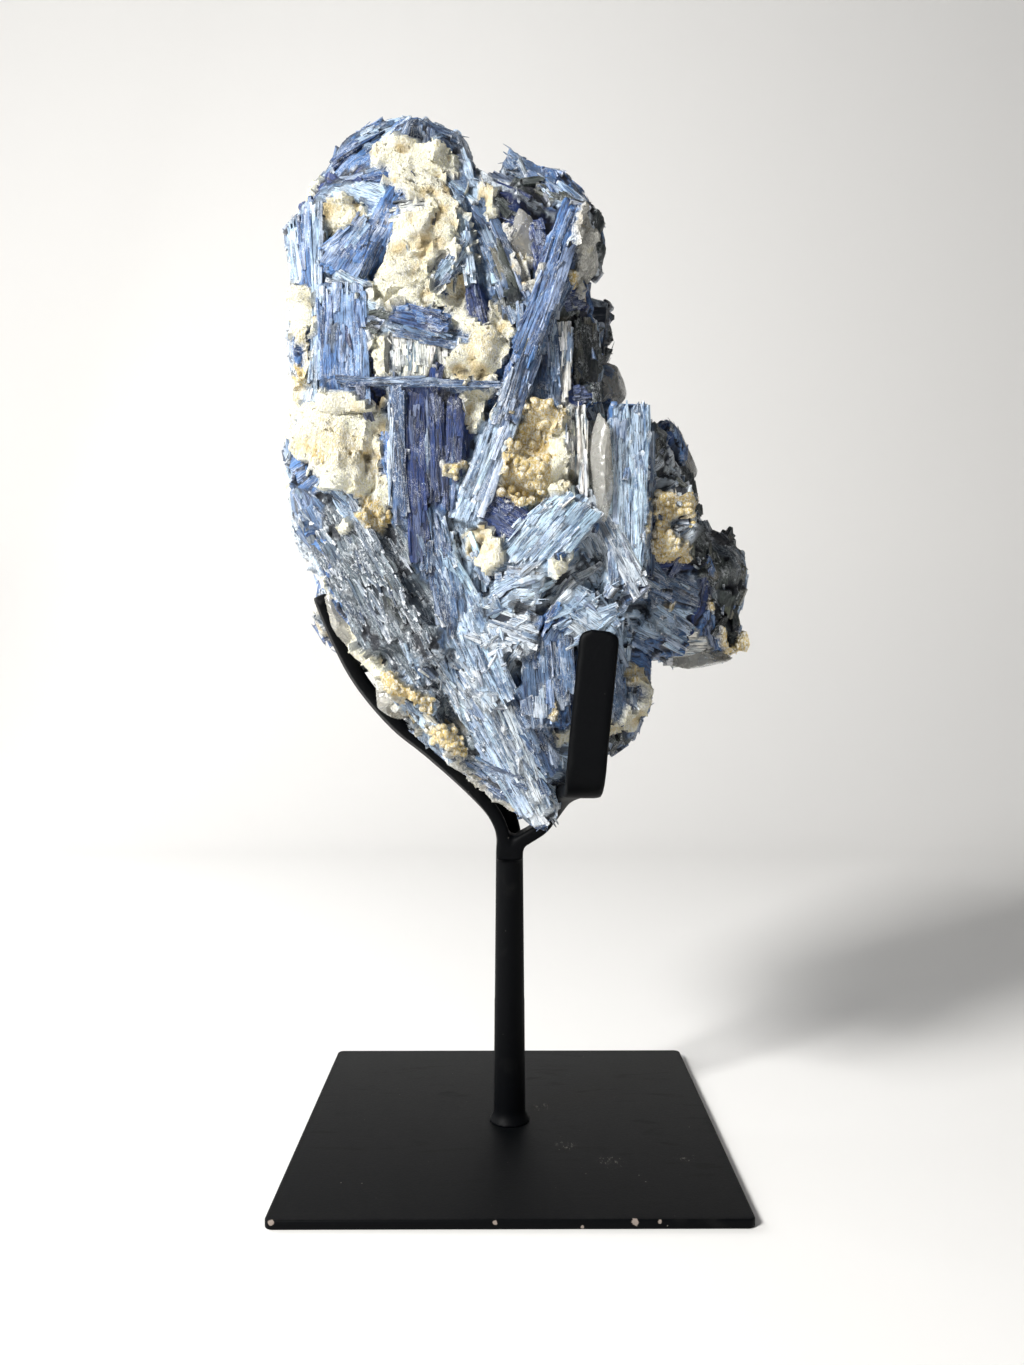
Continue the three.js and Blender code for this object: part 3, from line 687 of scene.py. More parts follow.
def shade_edges(mesh: bpy.types.Mesh, sharp: float) -> None:
    """Shades a mesh smooth, apart from edges that turn more than this many degrees."""
    mesh.shade_smooth()
    mesh.set_sharp_from_angle(angle=math.radians(sharp))


class Shells:
    """Closed shells that are gathered to be melted into one skin."""

    def __init__(self) -> None:
        """Starts with nothing."""
        self.points: list[Array] = []
        self.faces: list[tuple[int, ...]] = []
        self.count = 0

    def add(self, points: Array, faces: list[tuple[int, ...]]) -> None:
        """Adds one shell.

        Args:
            points: Its corners in millimetres.
            faces: Its faces, numbered from its own first corner.
        """
        self.points.append(points)
        self.faces += [tuple(i + self.count for i in face) for face in faces]
        self.count += len(points)

    def melted(self, voxel: float) -> bpy.types.Mesh:
        """All the shells as one closed skin.

        Args:
            voxel: The size of its squares, in millimetres.

        Returns:
            A mesh in metres.
        """
        body = bpy.data.objects.new("shells", new_mesh("shells", np.concatenate(self.points), self.faces))
        bpy.context.scene.collection.objects.link(body)
        melt = body.modifiers.new("melt", "REMESH")
        melt.mode = "VOXEL"
        melt.voxel_size = voxel * MM
        graph = bpy.context.evaluated_depsgraph_get()
        made = bpy.data.meshes.new_from_object(body.evaluated_get(graph))
        bpy.data.objects.remove(body)
        return made


def corners(mesh: bpy.types.Mesh) -> tuple[Array, Array]:
    """A mesh's corners and their normals, in millimetres."""
    place = np.empty(len(mesh.vertices) * 3, np.float32)
    mesh.vertices.foreach_get("co", place)
    normal = np.empty(len(mesh.vertices) * 3, np.float32)
    mesh.vertex_normals.foreach_get("vector", normal)
    return place.reshape(-1, 3).astype(float) / MM, normal.reshape(-1, 3).astype(float)


def move_corners(mesh: bpy.types.Mesh, points: Array) -> None:
    """Puts a mesh's corners at points given in millimetres."""
    mesh.vertices.foreach_set("co", (points * MM).astype(np.float32).ravel())
    mesh.update()


def ball(subdivisions: int) -> tuple[Array, list[tuple[int, ...]]]:
    """The corners and faces of a ball of triangles with radius one."""
    form = bmesh.new()
    bmesh.ops.create_icosphere(form, subdivisions=subdivisions, radius=1.0)
    points = np.array([v.co for v in form.verts])
    faces = [tuple(v.index for v in f.verts) for f in form.faces]
    form.free()
    return points, faces


def paint_corners(mesh: bpy.types.Mesh, name: str, values: Array) -> None:
    """Stores a number, a vector or a colour at each corner, by how many columns the values have."""
    kinds = {1: ("FLOAT", "value"), 3: ("FLOAT_VECTOR", "vector"), 4: ("FLOAT_COLOR", "color")}
    values = np.asarray(values, np.float32).reshape(len(mesh.vertices), -1)
    kind, key = kinds[values.shape[1]]
    mesh.attributes.new(name, kind, "POINT").data.foreach_set(key, values.ravel())


def place(name: str, mesh: bpy.types.Mesh, *materials: bpy.types.Material) -> bpy.types.Object:
    """Makes an object of a mesh, at the origin, with its materials."""
    mesh.name = name
    for material in materials:
        mesh.materials.append(material)
    thing = bpy.data.objects.new(name, mesh)
    bpy.context.scene.collection.objects.link(thing)
    return thing


def finish_piece(thing: bpy.types.Object, slot: str, *nodes: str) -> None:
    """Parents an object to the root body, hides the solids that it stands for, and logs its face count."""
    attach(thing, "root")
    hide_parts(*nodes)
    LOG.info("%s: %d faces", thing.name, len(thing.data.polygons))


def stone_piece(thing: bpy.types.Object) -> None:
    """Makes an object part of the stone."""
    finish_piece(thing, "kyanite_rock", STONE)


# Bars of the stand


@dataclass(frozen=True)
class Station:
    """A place on a bar's middle line, and the way its thickness faces there."""

    at: tuple[float, float, float]
    facing: tuple[float, float, float]


BAR_WIDE = 13.0
BAR_THICK = 4.8
ROOT_X = BAR_THICK / 2 + 0.15
ROOT_Z = 103.8
ROOT_BACK_Y = BAR_WIDE / 2 + 0.3 + BAR_THICK / 2

LEFT_ARM = (
    Station((-ROOT_X, 0, ROOT_Z), (-1, 0, 0)),
    Station((-ROOT_X, 0, 109.5), (-1, -0.05, 0)),
    Station((-5.4, -0.2, 116.5), (-0.9, -0.1, -0.45)),
    Station((-11.7, -0.8, 124.2), (-0.7, -0.15, -0.7)),
    Station((-28.6, -3, 140.1), (-0.65, -0.2, -0.75)),
    Station((-41.3, -5, 150.7), (-0.68, -0.2, -0.73)),
    Station((-54.1, -8.5, 166.5), (-0.8, -0.2, -0.55)),
    Station((-61.4, -11.5, 180.6), (-0.88, -0.2, -0.4)),
    Station((-68, -14, 197), (-0.92, -0.2, -0.35)),
)
FRONT_ARM = (
    Station((ROOT_X, 0, ROOT_Z), (1, 0, 0)),
    Station((3.6, 0, 106.8), (0.9, 0, -0.45)),
    Station((8.2, -0.2, 109.8), (0.5, 0, -0.87)),
    Station((12.7, -1, 113), (0.6, 0, -0.8)),
    Station((16.2, -3.5, 117.5), (0.75, -0.05, -0.65)),
    Station((19, -9.5, 122.6), (0.55, 0.2, -0.8)),
    Station((21.6, -20, 126.6), (0.15, 0.2, -0.97)),
    Station((23.3, -33, 129.2), (0, 0.1, -1)),
    Station((24.2, -44, 130.4), (0, -0.3, -0.95)),
    Station((24.6, -50.2, 135), (-0.05, -0.95, -0.35)),
    Station((25.5, -51.6, 146), (-0.12, -1, 0)),
    Station((27.3, -51.8, 164), (-0.12, -1, 0)),
    Station((29.2, -51.6, 183), (-0.12, -1, 0)),
)
BACK_ARM = (
    Station((0, ROOT_BACK_Y, ROOT_Z), (0, 1, 0)),
    Station((-0.5, ROOT_BACK_Y + 0.4, 109), (0, 1, 0)),
    Station((-3, 14, 117), (0, 0.8, -0.6)),
    Station((-7, 22, 125), (0, 0.7, -0.7)),
    Station((-11, 32, 136), (0, 0.75, -0.65)),
    Station((-13, 41, 151), (0, 0.9, -0.4)),
    Station((-14, 46, 169), (0, 1, -0.15)),
    Station((-14, 48, 188), (0, 1, -0.05)),
)


class Bar:
    """A flat bar bent along its stations."""

    corner: float = 3.4
    soft: float = 0.9

    def __init__(self, stations: tuple[Station, ...], wide: float = BAR_WIDE, steps: int = 14) -> None:
        """Works out the bar's frames.

        Args:
            stations: Its middle line and how its thickness faces.
            wide: Its width.
            steps: Frames between one station and the next.
        """
        self.wide = wide
        at = np.array([s.at for s in stations], float)
        facing = np.array([s.facing for s in stations], float)
        padded = np.vstack([2 * at[0] - at[1], at, 2 * at[-1] - at[-2]])
        middles, faces = [], []
        for i in range(len(at) - 1):
            p = padded[i : i + 4]
            knots = np.concatenate([[0], np.cumsum(np.linalg.norm(np.diff(p, axis=0), axis=1) ** 0.5)])
            shares = np.arange(steps + (i == len(at) - 2)) / steps
            for share in shares:
                middles.append(self._between(p, knots, knots[1] + share * (knots[2] - knots[1])))
                faces.append(facing[i] * (1 - share) + facing[i + 1] * share)
        self.middle = np.array(middles)
        self.along = unit(np.gradient(self.middle, axis=0))
        self.along[0] = (0, 0, 1)
        out = np.array(faces)
        self.out = unit(out - np.sum(out * self.along, axis=1, keepdims=True) * self.along)
        self.across = np.cross(self.out, self.along)

    @staticmethod
    def _between(p: Array, t: Array, at: float) -> Array:
        """A point on the smooth curve through four points, whose knots are t."""
        a = [(p[i] * (t[i + 1] - at) + p[i + 1] * (at - t[i])) / (t[i + 1] - t[i]) for i in range(3)]
        b = [(a[i] * (t[i + 2] - at) + a[i + 1] * (at - t[i])) / (t[i + 2] - t[i]) for i in range(2)]
        return (b[0] * (t[2] - at) + b[1] * (at - t[1])) / (t[2] - t[1])

    def shell(self, tail: float) -> tuple[Array, list[tuple[int, ...]]]:
        """The bar's skin, with soft edges, rounded end corners and a tail that runs down into its root.

        Args:
            tail: How far the tail runs below the first station.

        Returns:
            Its points and faces.
        """
        middle = np.vstack([self.middle[:1] - [[0, 0, tail]], self.middle])
        out, across = (np.vstack([v[:1], v]) for v in (self.out, self.across))
        run = np.concatenate([[0], np.cumsum(np.linalg.norm(np.diff(middle, axis=0), axis=1))])
        half_wide, half_thick, soft = self.wide / 2, BAR_THICK / 2, self.soft
        past = np.maximum(0, self.corner - (run[-1] - run))
        reach = half_wide - self.corner + np.sqrt(self.corner**2 - past**2)
        outline = []
        for cx, cy, start in ((-1, -1, 180), (1, -1, 270), (1, 1, 0), (-1, 1, 90)):
            for step in range(4):
                a = math.radians(start + step * 30)
                outline.append((cx, cy, math.cos(a) * soft, math.sin(a) * soft))
        rings = []
        for i in range(len(middle)):
            wide = reach[i]
            for cx, cy, du, dv in outline:
                u = cx * (wide - soft) + du
                v = cy * (half_thick - soft) + dv
                rings.append(middle[i] + across[i] * u + out[i] * v)
        return np.array(rings), ring_faces(len(middle), len(outline))

    def kept_off(self, points: Array, gap: float = 0.25) -> Array:
        """Points moved out of the bar to its stone side, where they were in it.

        Args:
            points: Places of the stone.
            gap: How far from the bar they end.

        Returns:
            The places, most of them as they were.
        """
        low = self.middle.min(0) - BAR_WIDE
        high = self.middle.max(0) + BAR_WIDE
        near = np.nonzero(np.all((points > low) & (points < high), axis=1))[0]
        if not len(near):
            return points
        moved = points.copy()
        for chunk in np.array_split(near, max(1, len(near) // 20000)):
            away = points[chunk][:, None] - self.middle[None]
            best = np.argmin(np.sum(away**2, axis=2), axis=1)
            offset = away[np.arange(len(chunk)), best]
            u = np.sum(offset * self.across[best], axis=1)
            v = np.sum(offset * self.out[best], axis=1)
            w = np.abs(np.sum(offset * self.along[best], axis=1))
            wide, thick = self.wide / 2 + gap, BAR_THICK / 2 + gap
            inside = (np.abs(u) < wide) & (np.abs(v) < thick) & (w < 2.0)
            push = np.where(inside, -thick - v, 0.0)
            moved[chunk] += push[:, None] * self.out[best]
        return moved


ARMS = (Bar(LEFT_ARM), Bar(FRONT_ARM), Bar(BACK_ARM, 9.6))


def clear_of_arms(points: Array) -> Array:
    """Places of the stone, moved out of the arms where they were in them."""
    for arm in ARMS:
        points = arm.kept_off(points)
    return points


# Paint: shader arithmetic and nodes


def add_node(
    tree: bpy.types.NodeTree,
    kind: str,
    settings: dict[str, object],
    sockets: dict[str | int, object],
) -> bpy.types.Node:
    """Makes one node.

    Args:
        tree: The tree that it goes into.
        kind: Its type.
        settings: What is set on the node itself, first.
        sockets: Values or links of its inputs, by name or number.

    Returns:
        The node.
    """
    node = tree.nodes.new(kind)
    for key, value in settings.items():
        setattr(node, key, value)
    for key, value in sockets.items():
        value = getattr(value, "socket", value)
        if isinstance(value, bpy.types.NodeSocket):
            tree.links.new(value, node.inputs[key])
        else:
            node.inputs[key].default_value = value
    return node


class Shade:
    """One socket of a material, with arithmetic that adds Math nodes."""

    def __init__(self, paint: "Paint", socket: bpy.types.NodeSocket) -> None:
        """Wraps a socket of a paint's node tree."""
        self.paint = paint
        self.socket = socket

    def _math(self, operation: str, *values: "Shade | float") -> "Shade":
        """A Math node on some values."""
        return self.paint.add("ShaderNodeMath", {"operation": operation}, dict(enumerate(values)))

    def __add__(self, other: "Shade | float") -> "Shade":
        """This plus other."""
        return self._math("ADD", self, other)

    def __radd__(self, other: float) -> "Shade":
        """Other plus this."""
        return self._math("ADD", other, self)

    def __sub__(self, other: "Shade | float") -> "Shade":
        """This less other."""
        return self._math("SUBTRACT", self, other)

    def __rsub__(self, other: float) -> "Shade":
        """Other less this."""
        return self._math("SUBTRACT", other, self)

    def __mul__(self, other: "Shade | float") -> "Shade":
        """This times other."""
        return self._math("MULTIPLY", self, other)

    def __rmul__(self, other: float) -> "Shade":
        """Other times this."""
        return self._math("MULTIPLY", other, self)

    def over(self, low: float, high: float) -> "Shade":
        """0 below low and 1 above high, with an even bend between them."""
        sockets = {"Value": self, "From Min": low, "From Max": high}
        return self.paint.add("ShaderNodeMapRange", {"interpolation_type": "SMOOTHSTEP"}, sockets)

    def larger(self, other: "Shade | float") -> "Shade":
        """The larger of two values."""
        return self._math("MAXIMUM", self, other)


class Paint:
    """A material and the one way in which its nodes are made."""

    def __init__(self, name: str) -> None:
        """Starts an empty material."""
        self.material = bpy.data.materials.new(name)
        self.material.use_nodes = True
        self.tree = self.material.node_tree
        self.tree.nodes.clear()

    def add(
        self,
        kind: str,
        settings: dict[str, object] | None = None,
        sockets: dict[str | int, object] | None = None,
        out: str | int = 0,
    ) -> Shade:
        """Makes one node, as add_node does, and gives the output that is wanted."""
        node = add_node(self.tree, kind, settings or {}, sockets or {})
        return Shade(self, node.outputs[out] if node.outputs else None)

    def stored(self, name: str, out: str = "Color") -> Shade:
        """A value stored at the piece's corners, as a Color, Vector or Fac."""
        return self.add("ShaderNodeAttribute", {"attribute_name": name}, {}, out)

    def place(self) -> Shade:
        """The place on the object, in millimetres."""
        here = self.add("ShaderNodeTexCoord", out="Object")
        return self.scaled(here, (1000, 1000, 1000))

    def scaled(self, vector: Shade, by: tuple[float, float, float]) -> Shade:
        """A vector with each part multiplied."""
        return self.add("ShaderNodeVectorMath", {"operation": "MULTIPLY"}, {0: vector, 1: by})

    def noise(
        self,
        vector: Shade,
        scale: float,
        detail: float = 3,
        warp: float = 0,
        rough: float = 0.55,
    ) -> Shade:
        """Noise from 0 to 1 at a vector."""
        sockets = {"Vector": vector, "Scale": scale, "Detail": detail}
        sockets |= {"Roughness": rough, "Distortion": warp}
        return self.add("ShaderNodeTexNoise", {}, sockets)

    def cells(self, vector: Shade, scale: float) -> Shade:
        """Distance in a pattern of cells."""
        return self.add("ShaderNodeTexVoronoi", {}, {"Vector": vector, "Scale": scale}, "Distance")

    def mix(self, share: Shade | float, a: Shade | tuple, b: Shade | tuple, blend: str = "MIX") -> Shade:
        """Two colours mixed by a share of the second."""
        settings = {"data_type": "RGBA", "blend_type": blend, "clamp_factor": True}
        a, b = (c if isinstance(c, Shade) else (*c[:3], 1.0) for c in (a, b))
        return self.add("ShaderNodeMix", settings, {0: share, 6: a, 7: b}, 2)

    def bump(self, height: Shade, depth: float, strength: float = 1.0) -> Shade:
        """A Bump node whose full height is depth, in millimetres."""
        sockets = {"Height": height, "Distance": depth * MM, "Strength": strength}
        return self.add("ShaderNodeBump", {}, sockets)

    def finish(self, **sockets: object) -> bpy.types.Material:
        """Ends the material in a Principled surface with these sockets, whose names have _ for a space."""
        named = {key.replace("_", " "): value for key, value in sockets.items()}
        surface = self.add("ShaderNodeBsdfPrincipled", {}, named)
        self.add("ShaderNodeOutputMaterial", {}, {"Surface": surface})
        return self.material


@dataclass(frozen=True)
class KyaniteFinish:
    """Bladed kyanite: silky fibres along each blade, deep and pale bands, white veins and frost, with
    painted shade in hollows and on the buried sides of blades.
    """

    white: str = "F1F6FB"
    dim: tuple[float, float, float] = (0.10, 0.19, 0.32)
    ink_and_shade: str = "070C1A"
    # Dark fibres and patches, and also the painted shade in hollows and on the buried sides of blades.
    stain: str = "C8B284"

    def material(self) -> bpy.types.Material:
        """Builds the material from the tint, grain, frost and hollow stored at the corners; the hollows get
        painted shade.
        """
        paint = Paint("kyanite")
        tint = paint.stored("tint")
        grain = paint.stored("grain", "Vector")
        frost = paint.stored("frost", "Fac")
        fibre = paint.noise(paint.scaled(grain, (3.2, 0.15, 1)), 1.0, 5, 0.25, 0.68)
        band = paint.noise(paint.scaled(grain, (0.7, 0.06, 1)), 1.0, 3, 0.4)
        patch = paint.noise(paint.scaled(grain, (0.25, 0.11, 1)), 1.0, 3, 0.5)
        vein = paint.noise(paint.scaled(grain, (0.7, 0.32, 1)), 1.0, 5, 1.4)
        flecks = paint.noise(paint.scaled(grain, (5.0, 1.1, 1)), 1.0, 3, 0.5, 0.7)
        cloud = paint.noise(paint.place(), 0.07, 3)
        hollow = paint.stored("hollow", "Fac")
        broad = paint.noise(paint.place(), 0.11, 2)
        pale = paint.mix(0.6, tint, linear(self.white))
        deep = paint.mix(1.0, tint, (*self.dim, 1), "MULTIPLY")
        dusky = paint.mix(0.45, tint, deep)
        colour = paint.mix(0.9 * (1 - patch.over(0.40, 0.54)), tint, dusky)
        colour = paint.mix(0.85 * (1 - band.over(0.39, 0.48)), colour, deep)
        colour = paint.mix(0.6 * (1 - patch.over(0.33, 0.42)), colour, linear(self.ink_and_shade))
        pale_share = 0.8 * patch.over(0.54, 0.66) * broad.over(0.4, 0.55) * frost.over(0.05, 0.5)
        colour = paint.mix(pale_share, colour, pale)
        colour = paint.mix(0.9 * (1 - fibre.over(0.39, 0.475)), colour, linear(self.ink_and_shade))
        colour = paint.mix(cloud.over(0.62, 0.74) * 0.2, colour, linear(self.stain))
        grit = paint.noise(paint.place(), 0.9, 5, 0.3, 0.7)
        pitted = frost.over(0.5, 0.8) * (1 - grit.over(0.38, 0.46))
        colour = paint.mix(0.85 * pitted, colour, linear(self.ink_and_shade))
        lines = vein.over(0.475, 0.5) - vein.over(0.5, 0.525)
        dusting = 0.1 + 0.9 * (broad + 0.25 * frost).over(0.46, 0.64)
        white = fibre.over(0.57, 0.68) * (0.15 + 0.7 * frost)
        white = white + flecks.over(0.6, 0.67) * (0.15 + 0.85 * frost)
        white = (white + 0.5 * lines) * dusting + frost.over(0.65, 1.0) * flecks.over(0.42, 0.56)
        # Painted shade: hollows and the buried sides of blades are darkened and lose most of their white.
        colour = paint.mix(0.9 * hollow.over(0.15, 0.5), colour, linear(self.ink_and_shade))
        white = white * (1 - 0.8 * hollow.over(0.2, 0.6))
        colour = paint.mix(white, colour, linear(self.white))
        height = fibre * 0.7 + flecks * 0.3 + vein * 0.9
        return paint.finish(
            Base_Color=colour,
            Roughness=0.36 + 0.3 * flecks + 0.1 * white,
            Normal=paint.bump(height, 0.6, 0.9),
            Coat_Weight=0.15,
            Coat_Roughness=0.22,
        )


@dataclass(frozen=True)
class RockFinish:
    """The rock between the blades: granular feldspar with stained hollows, and darker rock, with painted
    highlights on raised crumbs and painted shade in dips and the deepest hollows.
    """

    pale: str = "FFFEF8"
    butter: str = "F0E3AE"
    rust: str = "D9B762"
    # Painted shade for the dips between crumbs.
    shade: str = "8A7347"
    # Dark grains, and also the painted shade of the deepest hollows.
    grit: str = "37322A"

    def material(self) -> bpy.types.Material:
        """Builds the material from the tint and the hollows stored at the corners."""
        paint = Paint("feldspar_rock")
        here = paint.place()
        tint = paint.stored("tint")
        hollow = paint.stored("hollow", "Fac")
        grains = paint.cells(here, 1.5)
        crumbs = paint.noise(paint.scaled(here, (1.5, 1.5, 0.8)), 1.0, 6, 0.5, 0.72)
        clouds = paint.noise(here, 0.13, 4)
        stains = paint.noise(here, 0.09, 3, 0.8)
        specks = paint.noise(here, 2.6, 3)
        colour = paint.mix(0.4 * stains.over(0.5, 0.64), tint, linear(self.butter))
        # The raised crumbs are painted paler: partly white grains, partly a painted highlight.
        colour = paint.mix(0.85 * crumbs.over(0.46, 0.57), colour, linear(self.pale))
        colour = paint.mix(0.6 * hollow.over(0.15, 0.8) * clouds.over(0.36, 0.54), colour, linear(self.rust))
        # Painted shade in the dips between crumbs.
        colour = paint.mix(0.3 * (1 - crumbs.over(0.34, 0.42)), colour, linear(self.shade))
        colour = paint.mix(0.35 * specks.over(0.66, 0.72), colour, linear(self.grit))
        # Painted shade: the deepest hollows are darkened towards the grit colour.
        colour = paint.mix(0.7 * hollow.over(0.8, 1.15), colour, linear(self.grit))
        fine = paint.noise(paint.scaled(here, (3.2, 3.2, 1.4)), 1.0, 4, 0.3, 0.7)
        height = grains * 0.5 + crumbs + fine * 0.6
        return paint.finish(
            Base_Color=colour,
            Roughness=0.5 + 0.35 * crumbs,
            Normal=paint.bump(height, 0.95, 1.0),
        )


@dataclass(frozen=True)
class QuartzFinish:
    """Grey quartz that lets some light through, with veils and rough breaks."""

    tint: str = "E9E8E1"
    smoke: tuple[float, float, float] = (0.72, 0.70, 0.64)
    density: float = 12.0

    def material(self) -> bpy.types.Material:
        """Builds the material."""
        paint = Paint("quartz")
        here = paint.place()
        veils = paint.noise(here, 0.28, 4, 0.8)
        chips = paint.cells(here, 0.45)
        surface = paint.add(
            "ShaderNodeBsdfPrincipled",
            {},
            {
                "Base Color": paint.mix(veils.over(0.42, 0.66), linear(self.tint), linear("D2D0C8")),
                "Roughness": 0.14 + 0.4 * veils.over(0.45, 0.7),
                "IOR": 1.544,
                "Transmission Weight": 0.7,
                "Normal": paint.bump(chips * 0.25 + veils, 0.5, 0.6),
            },
        )
        smoke = {"Color": (*self.smoke, 1), "Density": self.density}
        inside = paint.add("ShaderNodeVolumeAbsorption", {}, smoke)
        paint.add("ShaderNodeOutputMaterial", {}, {"Surface": surface, "Volume": inside})
        return paint.material


@dataclass(frozen=True)
class SteelPaint:
    """Satin black paint over steel, with dust, scuffs on the plate and chips on its front edge.

    Scuffs and chips are places in millimetres with their radii.
    """

    black: str = "020305"
    dust: str = "8E8B84"
    primer: str = "8A7F77"
    scuffs: tuple[tuple[float, ...], ...] = (
        (19.6, -23, 3, 5.5),
        (34.4, -36, 3, 6.5),
        (60, -32, 3, 4.5),
        (12, 12, 3, 5),
        (-53, -5, 3, 1.2),
    )
    chips: tuple[tuple[float, ...], ...] = (
        (-72.7, -75, 2.4, 1.3),
        (-4.6, -75, 2.2, 1.0),
        (38, -75, 2.3, 1.6),
        (45.5, -75, 2.4, 0.9),
        (22, -75, 0.8, 0.8),
    )

    @staticmethod
    def _spots(paint: Paint, here: Shade, spots: tuple[tuple[float, ...], ...], ragged: Shade) -> Shade:
        """A mask that is 1 within a ragged edge round each place."""
        mask: Shade | float = 0.0
        for x, y, z, radius in spots:
            between = {0: here, 1: (x, y, z)}
            away = paint.add("ShaderNodeVectorMath", {"operation": "DISTANCE"}, between, "Value")
            near = 1 - (away + ragged * radius).over(radius * 1.05, radius * 1.3)
            mask = near.larger(mask)
        return mask

    def material(self) -> bpy.types.Material:
        """Builds the material."""
        paint = Paint("black_paint")
        here = paint.place()
        orange_peel = paint.noise(here, 1.1, 3)
        wipe = paint.noise(paint.scaled(here, (0.03, 0.12, 0.05)), 1.0, 4, 1.5)
        motes = paint.cells(here, 0.22)
        speck = (1 - motes.over(0.03, 0.06)) * paint.noise(here, 0.05, 2).over(0.5, 0.62)
        smudge = wipe.over(0.56, 0.76)
        ragged = paint.noise(here, 1.3, 3)
        strokes = paint.noise(paint.scaled(here, (0.9, 0.35, 1)), 1.0, 4, 1.2).over(0.55, 0.7)
        scuff = self._spots(paint, here, self.scuffs, ragged) * strokes
        chip = self._spots(paint, here, self.chips, ragged)
        colour = paint.mix(speck * 0.5 + smudge * 0.02 + scuff * 0.35, linear(self.black), linear(self.dust))
        colour = paint.mix(chip, colour, linear(self.primer))
        return paint.finish(
            Base_Color=colour,
            Roughness=0.5 + 0.08 * orange_peel + 0.12 * smudge + 0.3 * speck + 0.2 * scuff,
            Normal=paint.bump(orange_peel - chip, 0.08, 0.5),
            Specular_IOR_Level=0.08,
        )


@dataclass(frozen=True)
class StudioFinish:
    """Pale matt paper of the floor and backdrop."""

    colour: str = "E6E5E3"

    def material(self) -> bpy.types.Material:
        """Builds the material."""
        paint = Paint("backdrop_paper")
        tooth = paint.noise(paint.place(), 0.4, 3)
        return paint.finish(
            Base_Color=(*linear(self.colour), 1),
            Roughness=0.82 + 0.1 * tooth,
            Normal=paint.bump(tooth, 0.05, 0.3),
        )


# Blades


@dataclass
class Laths:
    """Many blades, one row of each array to a blade. Lengths are in millimetres.

    Attributes:
        middle: The middle of each broad face.
        along: The direction of its length.
        out: The direction in which its broad face looks.
        length: Its length.
        width: Its width.
        thick: Its thickness.
        tint: Its colour.
        frost: How white its edges and ends are.
        relief: The height of the steps on its face.
    """

    middle: Array
    along: Array
    out: Array
    length: Array
    width: Array
    thick: Array
    tint: Array
    frost: Array
    relief: Array

    def picked(self, which: Array) -> "Laths":
        """Only the rows that are wanted."""
        return Laths(**{key: value[which] for key, value in vars(self).items()})

    @staticmethod
    def joined(parts: list["Laths"]) -> "Laths":
        """Several lists of blades as one."""
        return Laths(**{key: np.concatenate([getattr(p, key) for p in parts]) for key in vars(parts[0])})


